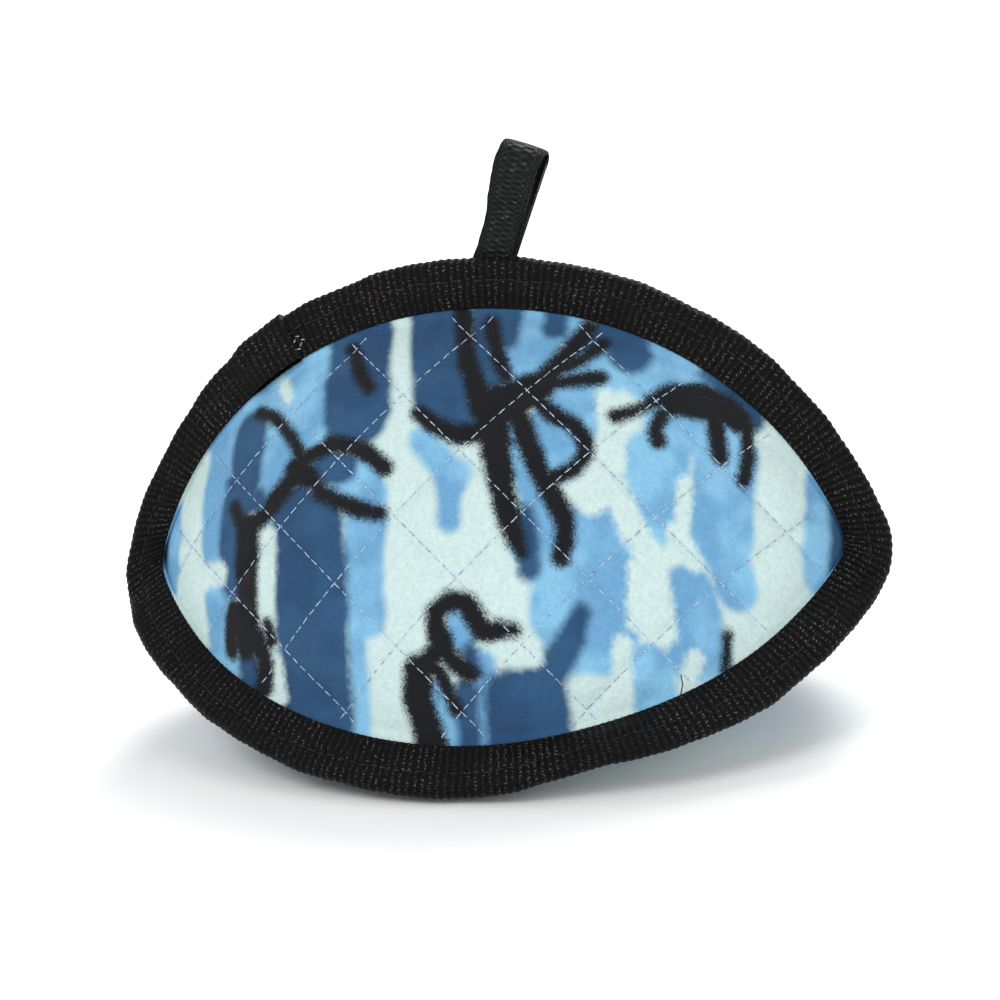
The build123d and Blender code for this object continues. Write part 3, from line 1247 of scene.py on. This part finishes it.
@dataclass
class FleecePanel:
    """One quilted fleece panel with its wadding-pressed outer face and its stitches."""

    panel: Panel
    form: BodyForm
    lean: FinLean
    finishes: Finishes
    print_shift: float = 0.0
    print_flip: int = 1
    cells: tuple[int, int] = (264, 160)
    size: tuple[float, float] = (190.0 * MM, 130.0 * MM)
    dome_share: float = 0.93
    edge_wedge: float = 58.6
    fin_depth: float = 8.0 * MM
    fin_face: float = 1.25 * MM
    cloth: float = 0.6 * MM
    quilt_pitch: float = 22.5 * MM
    quilt_phase: float = 10.3 * MM
    quilt_clear: float = 3.0 * MM
    stitch_clear: float = 1.3 * MM
    crown: float = 0.55 * MM
    valley: float = 0.75 * MM
    pull_in: float = 0.3 * MM
    tip_share: float = 0.92
    allowance_cut: Spot = (0.85, 0.68, 0.22)
    tuck: float = 0.2 * MM
    lumps: Spot = (0.10, 31.0 * MM, 23.0 * MM)
    deepest: float = 0.8 * MM
    pull_width: float = 4.0 * MM
    slope: float = 5.2 * MM
    groove: float = 1.25 * MM
    backing_depth: float = 3.62 * MM
    backing: float = 0.28 * MM

    @property
    def name(self) -> str:
        """The panel's name."""
        return self.panel.name.lower()

    def quilt_ways(self) -> tuple[Points, Points]:
        """The two directions that the quilting lines are spaced along."""
        across = outward(self.panel.value + 90.0)
        return (LONG_WAY - across) / math.sqrt(2.0), (LONG_WAY + across) / math.sqrt(2.0)

    def quilt_gaps(self, points: Points) -> list[Points]:
        """Distance of points from the quilting.

        Args:
            points: Points on the panel.

        Returns:
            Distances from the nearest line of each family.
        """
        gaps = []
        for way in self.quilt_ways():
            place = self.form.flat(self.panel, points, way) - self.quilt_phase
            gaps.append(np.abs(place - self.quilt_pitch * np.round(place / self.quilt_pitch)))
        return gaps

    def seam_gap(self, points: Points) -> Points:
        """Distance of points from the nearer of the panel's two seam planes.

        Args:
            points: Points on the panel.

        Returns:
            One distance for each point.
        """
        ray = points - self.form.axis
        sides = [ray @ outward(self.panel.value + side) for side in (-30.0, 30.0)]
        return np.minimum(*sides)

    def puff(self, points: Points) -> Points:
        """How far the stuffing and the quilting raise the cloth off the plain dome.

        Args:
            points: Points on the dome.

        Returns:
            One height for each point, negative along the stitching and near the seams.
        """
        first, second = self.quilt_gaps(points)
        edge = self.seam_gap(points)
        inside = ease((edge - self.quilt_clear + 1.0 * MM) / (3.0 * MM))
        swell = (1 - bell(first, self.slope)) * (1 - bell(second, self.slope))
        pucker = 0.85 + 0.15 * np.cos(2 * math.pi * (first + second) / (3.0 * MM))
        dip = np.maximum(bell(first, self.groove), bell(second, self.groove)) * pucker
        amount, long_wave, cross_wave = self.lumps
        soft = amount * ripple(points[:, 0], long_wave, self.panel.value)
        soft = soft * ripple(points[:, 2] + points[:, 1], cross_wave, 1.0)
        rise = self.crown * (swell - 0.25 + soft) - self.valley * dip
        pulled = self.pull_in * bell(edge - self.pull_width, self.pull_width)
        return np.maximum(rise, -self.deepest) * inside - pulled

    def surface(self, along: Points, wedge: Points) -> Points:
        """Points of the cloth's outer face over the dome.

        Args:
            along: Place from tip to tip, -1 to 1.
            wedge: Degrees round the long axis from the panel's middle.

        Returns:
            One point for each pair.
        """
        points = self.form.dome(self.panel, along, wedge)
        raised = points + self.form.away(self.panel, points) * self.puff(points)[:, None]
        return self.form.rest(raised) if self.panel is Panel.BASE else raised

    def place(self, u: Points, v: Points) -> Points:
        """Points of the whole panel with its seam allowances.

        Args:
            u: Place from tip to tip, 0 to 1.
            v: Place from seam to seam, 0 to 1.

        Returns:
            One point for each pair.
        """
        quarter = math.pi / 2 * self.tip_share
        along = np.sin((u * 2 - 1) * quarter) / math.sin(quarter)
        rise = v * 2 - 1
        side = np.where(rise < 0, -1.0, 1.0)
        share = np.abs(rise) / self.dome_share
        points = self.surface(along, side * np.minimum(share, 1.0) * self.edge_wedge)
        cut, start, over = self.allowance_cut
        reach = self.fin_depth * (1.0 - cut * ease((np.abs(along) - start) / over))
        depth = (np.abs(rise) - self.dome_share) / (1 - self.dome_share) * reach - self.tuck
        for turn in (-1.0, 1.0):
            seam = Seam((self.panel.value + turn * self.form.half_wedge) % 360.0)
            base, out, across = self.form.fin_frame(seam, along * self.form.seam_sweep, self.lean)
            fin = base + depth[:, None] * out - turn * self.fin_face * across
            beyond = ((share > 1.0001) & (side == turn))[:, None]
            points = np.where(beyond, fin, points)
        return points

    def flat_places(self, points: Points) -> tuple[Points, Points]:
        """Places on the flat cloth.

        Args:
            points: Points on the panel.

        Returns:
            Millimetres along the cloth and up it.
        """
        up_way = outward(self.panel.value + (90.0 if self.panel is Panel.BACK else -90.0))
        x = self.form.flat(self.panel, points, LONG_WAY) / MM
        y = self.form.flat(self.panel, points, up_way) / MM
        return x * self.print_flip + self.print_shift, y

    def build(self) -> Piece:
        """Make the panel's cloth, printed and quilted.

        Returns:
            The piece.
        """
        facing = outward(self.panel.value)
        piece = mapped_sheet(f"{self.name}_quilted_fleece", self.cells, self.place, self.size, facing)
        x, y = self.flat_places(mesh_points(piece))
        for dye in Dye:
            layer = piece.data.attributes.new(dye.value, "FLOAT", "POINT")
            layer.data.foreach_set("value", Print().inside(dye, x, y).astype(np.float32))
        give_thickness(piece, self.cloth)
        dress(piece, self.finishes.fleece, (f"{self.name}_fleece",))
        return piece

    def quilting_line(self, way: Points, place: float) -> tuple[Points, Points]:
        """Points of one quilting line and the ways out of the cloth there.

        Args:
            way: The direction that its family is spaced along.
            place: Its arc length from the panel's middle.

        Returns:
            The points inside the bindings, and their ways up.
        """
        form = self.form
        middle_way = outward(self.panel.value)
        off = form.radius * math.sin(place / form.radius)
        ring = math.sqrt(form.radius**2 - off**2)
        run_way = np.cross(middle_way, way)
        turns = np.linspace(-1.2, 1.2, 1400)
        line = form.dome_centre(self.panel) + way * off + ring * (
            np.cos(turns)[:, None] * middle_way + np.sin(turns)[:, None] * run_way
        )
        line = line[self.seam_gap(line) > self.stitch_clear]
        ups = form.away(self.panel, line)
        raised = line + ups * (self.puff(line) + 0.12 * MM)[:, None]
        return (form.rest(raised) if self.panel is Panel.BASE else raised), ups

    def sew(self) -> Piece:
        """Make the quilting thread that shows on the panel.

        Returns:
            The piece.
        """
        stitcher = Stitcher()
        seats = []
        for way in self.quilt_ways():
            for number in range(-4, 4):
                line, ups = self.quilting_line(way, number * self.quilt_pitch + self.quilt_phase)
                if len(line) > 20:
                    seats.extend(stitcher.along(line, ups))
        piece = stitcher.sew(f"{self.name}_quilting_stitches", seats)
        dress(piece, self.finishes.quilting, (f"{self.name}_quilting_thread",))
        return piece

    def back_cloth(self) -> Piece:
        """Make the thin backing cloth behind the wadding, with its allowances.

        Returns:
            The piece.
        """
        under = FleecePanel(
            self.panel,
            self.form,
            self.lean,
            self.finishes,
            cells=(96, 60),
            fin_face=0.32 * MM,
            fin_depth=9.0 * MM,
            crown=0.0,
            valley=0.0,
            pull_in=0.0,
        )

        def place(u: Points, v: Points) -> Points:
            """Points of the backing cloth, below the wadding over the dome.

            Args:
                u: Place from tip to tip, 0 to 1.
                v: Place from seam to seam, 0 to 1.

            Returns:
                One point for each pair.
            """
            points = under.place(u, v)
            over_dome = np.abs(v * 2 - 1) <= under.dome_share * 0.985
            sunk = points - self.form.away(self.panel, points) * self.backing_depth
            if self.panel is Panel.BASE:
                sunk[:, 2] = np.maximum(sunk[:, 2], self.backing_depth)
            return np.where(over_dome[:, None], sunk, points)

        facing = outward(self.panel.value)
        piece = mapped_sheet(f"{self.name}_backing_cloth", under.cells, place, self.size, facing)
        give_thickness(piece, self.backing)
        dress(piece, self.finishes.backing, (f"{self.name}_backing",))
        return piece


@dataclass
class Binding:
    """Webbing folded over a seam, with its two rows of stitching."""

    name: str
    path: FinPath
    finishes: Finishes
    replaces: tuple[str, ...]
    thread_replaces: tuple[str, ...]
    depth: float = 12.7 * MM
    inner_edge: float = 0.35 * MM
    half: float = 2.45 * MM
    half_at_edge: float = 1.75 * MM
    inner_half: float = 1.3 * MM
    tape: float = 1.15 * MM
    stitch_from_fold: float = 5.5 * MM
    dent: float = 0.35 * MM
    rib: float = 1.83 * MM
    rib_rise: float = 0.25 * MM
    station: float = 0.45 * MM
    seed: float = 0.0
    wave: tuple[float, float] = (0.45 * MM, 41.0 * MM)
    fold_wave: tuple[float, float] = (0.28 * MM, 29.0 * MM)
    rib_slant: tuple[float, float] = (0.10, 0.06)
    rib_drift: tuple[float, float] = (0.25 * MM, 17.0 * MM)
    lap: tuple[float, float] | None = None
    lap_rise: float = 0.8 * MM
    tack_count: int = 5

    @property
    def row(self) -> float:
        """Depth of the stitched row, out from the seam."""
        return self.depth - self.stitch_from_fold

    def half_width(self, depth: Points) -> Points:
        """Half the binding's thickness at depths out from the seam."""
        swell = (self.half - self.half_at_edge) * ease((depth - self.inner_edge) / (5.0 * MM))
        return self.half_at_edge + swell - self.dent * bell(depth - self.row, 0.9 * MM)

    def swing(self, run: Points, depth: Points) -> Points:
        """How far the rim waves from side to side at places along the tape."""
        rise, length = self.wave
        return rise * ripple(run, length, self.seed + 2) * ease(depth / self.depth)

    def lapped(self, run: Points) -> Points:
        """How far a second layer of tape raises the strip.

        Args:
            run: Places along the strip.

        Returns:
            One height for each place.
        """
        if self.lap is None:
            return np.zeros_like(run)
        start, end = self.lap
        return self.lap_rise * ease((run - start) / (6.0 * MM)) * (1.0 - ease((run - end) / (0.6 * MM)))

    def profile(self) -> tuple[Points, Points, Points]:
        """The folded tape's section.

        Returns:
            Depth and side of each point round the section, and how much the ribs raise it.
        """
        edge, lip = self.inner_edge, self.inner_edge - 0.25 * MM
        shoulder = self.depth - self.half
        down = np.linspace(edge, shoulder, 17)
        arc = np.linspace(0.0, math.pi, 13)[1:-1]
        inner = np.linspace(self.depth - self.tape, edge, 6)
        wide = self.half_width(down)
        flat = np.full(6, self.inner_half)
        middle = (self.half_at_edge + self.inner_half) / 2
        fold = shoulder + self.half * np.sin(arc)
        depth = np.concatenate([down, fold, down[::-1], [lip], inner[::-1], inner, [lip], down[:1]])
        side = np.concatenate(
            [wide, self.half * np.cos(arc), -wide[::-1], [-middle], -flat, flat, [middle], wide[:1]]
        )
        outside = len(down) * 2 + len(arc)
        ribbed = np.concatenate([np.ones(outside), [0.4], np.zeros(12), [0.4], [1.0]])
        return depth, side, ribbed

    def build(self) -> Piece:
        """Make the folded tape.

        Returns:
            The piece.
        """
        depth, side, ribbed = self.profile()
        ways = np.stack([np.gradient(side), -np.gradient(depth)], axis=1)
        ways /= np.maximum(np.linalg.norm(ways, axis=1), 1e-9)[:, None]
        ray = np.stack([depth - self.depth / 2, side], axis=1)
        ways *= np.where(np.sum(ways * ray, axis=1) < 0, -1.0, 1.0)[:, None]
        length = self.path.length
        columns = int(length / self.station)
        around = len(depth) - 1
        path = self.path.evened(columns + 1)

        def place(u: Points, v: Points) -> Points:
            """Points of the tape.

            Args:
                u: Place along its length, 0 to 1.
                v: Place round its section, 0 to 1.

            Returns:
                One point for each pair.
            """
            at = np.rint(v * around).astype(int)
            run = u * length
            slant = self.rib_slant[0] * side[at] + self.rib_slant[1] * depth[at]
            twist = slant + self.rib_drift[0] * ripple(run, self.rib_drift[1], self.seed)
            rib = np.abs(np.cos(math.pi * (run + twist) / self.rib)) - 0.62
            uneven = 1.0 + 0.35 * ripple(run + depth[at] * 2.0, 6.1 * MM, self.seed + 1)
            lift = ribbed[at] * (self.rib_rise * rib * uneven + self.lapped(run))
            rise, wave = self.fold_wave
            tall = rise * ripple(run, wave, self.seed + 3) * ease(depth[at] / self.depth)
            far = depth[at] + ways[at, 0] * lift * 1.35 + tall
            wide = side[at] + ways[at, 1] * lift + self.swing(run, depth[at])
            return path.place(u, far, wide)

        section = np.hypot(np.diff(depth), np.diff(side)).sum()
        piece = mapped_sheet(self.name, (columns, around), place, (length, float(section)))
        if not self.path.closed:
            close_ends(piece)
        dress(piece, self.finishes.webbing, self.replaces)
        return piece

    def sew(self) -> Piece:
        """Make the rows of stitching on both faces.

        Returns:
            The piece.
        """
        stitcher = Stitcher(pitch=2.9 * MM, shown=2.3 * MM, width=0.5 * MM, height=0.42 * MM)
        share = np.linspace(0.0, 1.0, 3000)
        run = share * self.path.length
        depth = self.row + 0.35 * MM * ripple(run, 11.0 * MM, self.seed)
        rise = float(self.half_width(np.array([self.row]))[0]) + 0.05 * MM
        seats = []
        for face in (-1.0, 1.0):
            side = face * (rise + self.lapped(run)) + self.swing(run, depth)
            line = self.path.place(share, depth, side)
            above = self.path.place(share, depth, side + face * MM)
            seats.extend(stitcher.along(line, above - line))
        piece = stitcher.sew(f"{self.name}_stitches", seats)
        dress(piece, self.finishes.black_thread, self.thread_replaces)
        return piece

    def tack(self) -> Piece:
        """Make the few pale stitches that hold the cut end of the lap.

        Returns:
            The piece.
        """
        path = self.path.evened(2000)
        seats = []
        for number in range(self.tack_count):
            run = self.lap[1] + (1.2 + 1.1 * (number % 3)) * MM
            share = np.array([run / self.path.length])
            depth = np.array([(2.6 + 0.75 * number) * MM])
            rise = self.half_width(depth) + 0.12 * MM
            middle = path.place(share, depth, rise)[0]
            above = path.place(share, depth, rise + MM)[0]
            ahead = path.place(share + 1.0 * MM / self.path.length, depth + (number % 2 - 0.4) * MM, rise)[0]
            seats.append((middle, ahead - middle, above - middle))
        piece = Stitcher(shown=1.2 * MM, width=0.26 * MM).sew("lap_tack_stitches", seats)
        dress(piece, self.finishes.quilting)
        return piece


@dataclass(frozen=True)
class LooseEnd:
    """The end of black thread that stands up beside the lower binding."""

    form: BodyForm
    finishes: Finishes
    bends: tuple[Spot, ...] = (
        (51.2 * MM, -47.0 * MM, 0.3 * MM),
        (51.5 * MM, -43.0 * MM, 1.3 * MM),
        (52.2 * MM, -39.5 * MM, 1.9 * MM),
        (52.0 * MM, -37.0 * MM, 1.5 * MM),
    )

    def build(self) -> Piece:
        """Make the thread as a chain of short twists.

        Returns:
            The piece.
        """
        corners = np.stack([self.form.over_dome(Panel.FRONT, bend) for bend in self.bends])
        share = np.linspace(0.0, len(corners) - 1.0, 60)
        line = read_at(share, np.arange(len(corners)), corners)
        ups = np.broadcast_to(outward(Panel.FRONT.value), line.shape)
        stitcher = Stitcher(pitch=0.7 * MM, shown=1.2 * MM, width=0.34 * MM)
        piece = stitcher.sew("loose_thread_end", stitcher.along(line, ups))
        dress(piece, self.finishes.black_thread)
        return piece


@dataclass
class HandleLoop:
    """The webbing loop, from both sewn tails up round its eye."""

    finishes: Finishes
    hinge: Spot = (5.2 * MM, 4.35 * MM, 121.715 * MM)
    lean: float = 20.0
    width: float = 11.0 * MM
    tape: float = 1.15 * MM
    tail: float = 12.4 * MM
    closed: float = 6.0 * MM
    eye_half: float = 4.3 * MM
    eye_centre: float = 21.4 * MM
    leg_shift: float = 0.6 * MM
    bend_half: float = 2.2 * MM
    rib: tuple[float, float] = (0.03 * MM, 0.75 * MM)
    cup: float = 0.22 * MM
    waist: Spot = (0.14, 4.0 * MM, 11.0 * MM)
    sway: tuple[float, float] = (0.12 * MM, 9.0 * MM)
    tack_rows: tuple[float, float] = (5.1 * MM, 10.1 * MM)
    tack_pitch: float = 0.4 * MM

    @property
    def ways(self) -> tuple[Points, Points]:
        """The ways up the loop and across its tape.

        Returns:
            The two unit directions.
        """
        tilt = math.radians(self.lean)
        up_way = np.array([math.sin(tilt), 0.0, math.cos(tilt)])
        return up_way, np.array([math.cos(tilt), 0.0, -math.sin(tilt)])

    def centre_line(self) -> Points:
        """The tape's middle line, from tail to tail.

        Returns:
            Offsets along Y and up the lean.
        """
        half = self.tape / 2 + 0.02 * MM
        up = np.linspace(-self.tail, self.eye_centre, 150)
        grow = ease((up - self.closed * 0.7) / (self.eye_centre - self.closed * 0.7))
        leg = half + (self.eye_half - half) * grow
        arc = np.linspace(0.0, math.pi, 46)[1:-1]
        top = np.stack([-self.eye_half * np.cos(arc), self.eye_centre + self.eye_half * np.sin(arc)], axis=1)
        front = np.stack([-leg, up], axis=1)
        rear = np.stack([leg, up], axis=1)[::-1]
        return np.concatenate([front, top, rear])

    def build(self) -> Piece:
        """Make the loop as one strip from tail to tail, leaning over at its set angle.

        Returns:
            The piece.
        """
        line = self.centre_line()
        run = running_length(line)
        length = float(run[-1])
        tangent = unit(np.gradient(line, axis=0))
        normal = np.stack([-tangent[:, 1], tangent[:, 0]], axis=1)
        up_way, wide_way = self.ways
        turn = np.linspace(0.0, 2 * math.pi, 37)
        section_w = np.sign(np.cos(turn)) * np.abs(np.cos(turn)) ** 0.28 * self.width / 2
        section_t = np.sign(np.sin(turn)) * np.abs(np.sin(turn)) ** 0.55 * self.tape / 2
        around = len(turn) - 1

        def place(u: Points, v: Points) -> Points:
            """Points of the strip.

            Args:
                u: Place along its length, 0 to 1.
                v: Place round its section, 0 to 1.

            Returns:
                One point for each pair.
            """
            at = np.rint(v * around).astype(int)
            where = u * length
            mid, out = read_at(where, run, line), read_at(where, run, normal)
            rib = (np.abs(np.cos(math.pi * where / self.rib[1])) - 0.6) * self.rib[0]
            cup = -self.cup * (section_w[at] / (self.width / 2)) ** 2
            thick = section_t[at] + np.sign(section_t[at]) * rib + cup * ease((mid[:, 1] - 6 * MM) / (8 * MM))
            narrowing, height, reach = self.waist
            wide = section_w[at] * (1.0 - narrowing * bell(mid[:, 1] - height, reach))
            wide = wide + self.sway[0] * ripple(where, self.sway[1], 0.7)
            loose = ease((mid[:, 1] - 2.0 * MM) / (14.0 * MM))
            wide = wide + self.leg_shift * loose * (2.0 * ease((u - 0.42) / 0.16) - 1.0)
            offset = mid + out * thick[:, None]
            leaning = np.array(self.hinge) + offset[:, :1] * BACK_WAY + offset[:, 1:] * up_way
            return leaning + wide[:, None] * wide_way

        section = float(np.hypot(np.diff(section_w), np.diff(section_t)).sum())
        piece = mapped_sheet("loop_webbing", (220, around), place, (length, section))
        close_ends(piece)
        piece.data.materials.append(self.finishes.loop)
        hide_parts("loop_handle", "handle_tails")
        low, high = (tuple(np.array(self.hinge) + up_way * turn * self.bend_half) for turn in (-1, 1))
        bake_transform(piece)
        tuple(low)
        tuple(high)
        return piece

    def tack(self) -> Piece:
        """Make the two dense rows of tacking stitches across the tails.

        Returns:
            The piece.
        """
        up_way, wide_way = self.ways
        back = np.array(self.hinge) + BACK_WAY * (self.tape + 0.12 * MM)
        seats = []
        for row in self.tack_rows:
            for number in range(21):
                middle = back - up_way * row + wide_way * (number - 10) * self.tack_pitch
                slant = up_way + wide_way * (0.25 if number % 2 else -0.25)
                seats.append((middle, slant, BACK_WAY))
        stitcher = Stitcher(shown=1.7 * MM, width=0.45 * MM, height=0.5 * MM)
        piece = stitcher.sew("handle_tack_stitches", seats)
        dress(piece, self.finishes.black_thread, ("handle_bar_tack",))
        return piece


@dataclass
class Stuffing:
    """The inner CAD solids that keep their shape and get their fibre finish."""

    finishes: Finishes

    def dress(self) -> None:
        """Give the fill and the wadding their materials."""
        looks = {"fibre_fill": self.finishes.fill}
        looks |= {f"{panel.name.lower()}_wadding": self.finishes.wadding for panel in Panel}
        for node, look in looks.items():
            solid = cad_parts[node]
            solid.data.materials.clear()
            solid.data.materials.append(look)


@dataclass
class Studio:
    """Camera, soft lights and a plain pale floor."""

    form: BodyForm
    distance: float = 0.95
    side_turn: float = 12.1
    height_turn: float = 17.7
    roll: float = -4.85
    lens: float = 136.2
    aim_above: float = 12.9 * MM
    sky: float = 0.62
    floor_half: float = 4.0
    lamps: tuple[tuple[str, Spot, float, float], ...] = (
        ("key_light", (-0.7, -1.1, 1.3), 0.8, 12.0),
        ("fill_light", (1.1, -0.9, 0.7), 0.9, 5.5),
        ("back_light", (0.2, 1.1, 1.2), 0.8, 20.0),
    )

    def camera(self) -> None:
        """Set the camera."""
        side = math.radians(self.side_turn)
        rise = math.radians(self.height_turn)
        back = Vector((math.sin(side) * math.cos(rise), -math.cos(side) * math.cos(rise), math.sin(rise)))
        middle = Vector(self.form.axis)
        turn = (-back).to_track_quat("-Z", "Y").to_matrix().to_4x4()
        turn = turn @ Matrix.Rotation(math.radians(self.roll), 4, "Z")
        place = middle + back * self.distance
        aim = middle + turn.to_3x3() @ Vector((0.0, self.aim_above, 0.0))
        look = (aim - place).to_track_quat("-Z", "Y").to_matrix().to_4x4()
        look = look @ Matrix.Rotation(math.radians(self.roll), 4, "Z")
        data = bpy.data.cameras.new("studio_camera")
        data.lens, data.sensor_width = self.lens, 36.0
        data.clip_start, data.clip_end = 0.01, 20.0
        camera = put_in_scene("studio_camera", data)
        camera.matrix_world = Matrix.Translation(place) @ look
        bpy.context.scene.camera = camera

    def light(self, name: str, place: Spot, size: float, power: float) -> None:
        """Add one soft light that points at the toy.

        Args:
            name: The light's name.
            place: Where it stands.
            size: Width of its square.
            power: Watts.
        """
        data = bpy.data.lights.new(name, "AREA")
        data.size, data.energy = size, power
        lamp = put_in_scene(name, data)
        way = Vector(self.form.axis) - Vector(place)
        turn = way.to_track_quat("-Z", "Y").to_matrix().to_4x4()
        lamp.matrix_world = Matrix.Translation(Vector(place)) @ turn

    def build(self) -> None:
        """Make the floor, the lights and the camera."""
        bm = bmesh.new()
        bmesh.ops.create_grid(bm, x_segments=1, y_segments=1, size=self.floor_half)
        mesh = bpy.data.meshes.new("studio_floor")
        bm.to_mesh(mesh)
        bm.free()
        mesh.materials.append(FloorFinish().build())
        put_in_scene("studio_floor", mesh)
        world = bpy.data.worlds.new("studio_world")
        bpy.context.scene.world = world
        world.use_nodes = True
        sky = world.node_tree.nodes["Background"].inputs
        sky["Color"].default_value = (1.0, 1.0, 1.0, 1.0)
        sky["Strength"].default_value = self.sky
        for lamp in self.lamps:
            self.light(*lamp)
        bpy.context.scene.view_settings.view_transform = "Standard"
        self.camera()


def report(piece: Piece) -> None:
    """Log one finished piece."""
    log.info("%s: %d faces", piece.name, len(piece.data.polygons))


def main() -> None:
    """Build the toy piece by piece."""
    logging.basicConfig(level=logging.INFO)
    form = BodyForm()
    lean = FinLean()
    finishes = Finishes()
    Stuffing(finishes).dress()
    for panel, shift, flip in ((Panel.FRONT, 0.0, 1), (Panel.BACK, 62.0, 1), (Panel.BASE, -38.0, -1)):
        fleece = FleecePanel(panel, form, lean, finishes, print_shift=shift, print_flip=flip)
        report(fleece.build())
        report(fleece.sew())
        report(fleece.back_cloth())
    paths = FinPaths(form, lean)
    perimeter = Binding(
        "perimeter_webbing",
        paths.perimeter(),
        finishes,
        ("perimeter_binding",),
        ("perimeter_binding_thread",),
        lap=(60.0 * MM, 78.5 * MM),
    )
    rear = Binding(
        "rear_webbing", paths.rear(), finishes, ("rear_binding",), ("rear_binding_thread",), seed=2.0
    )
    for binding in (perimeter, rear):
        report(binding.build())
        report(binding.sew())
    report(perimeter.tack())
    report(LooseEnd(form, finishes).build())
    loop = HandleLoop(finishes)
    report(loop.build())
    report(loop.tack())
    Studio(form).build()


if __name__ == "__main__":
    main()
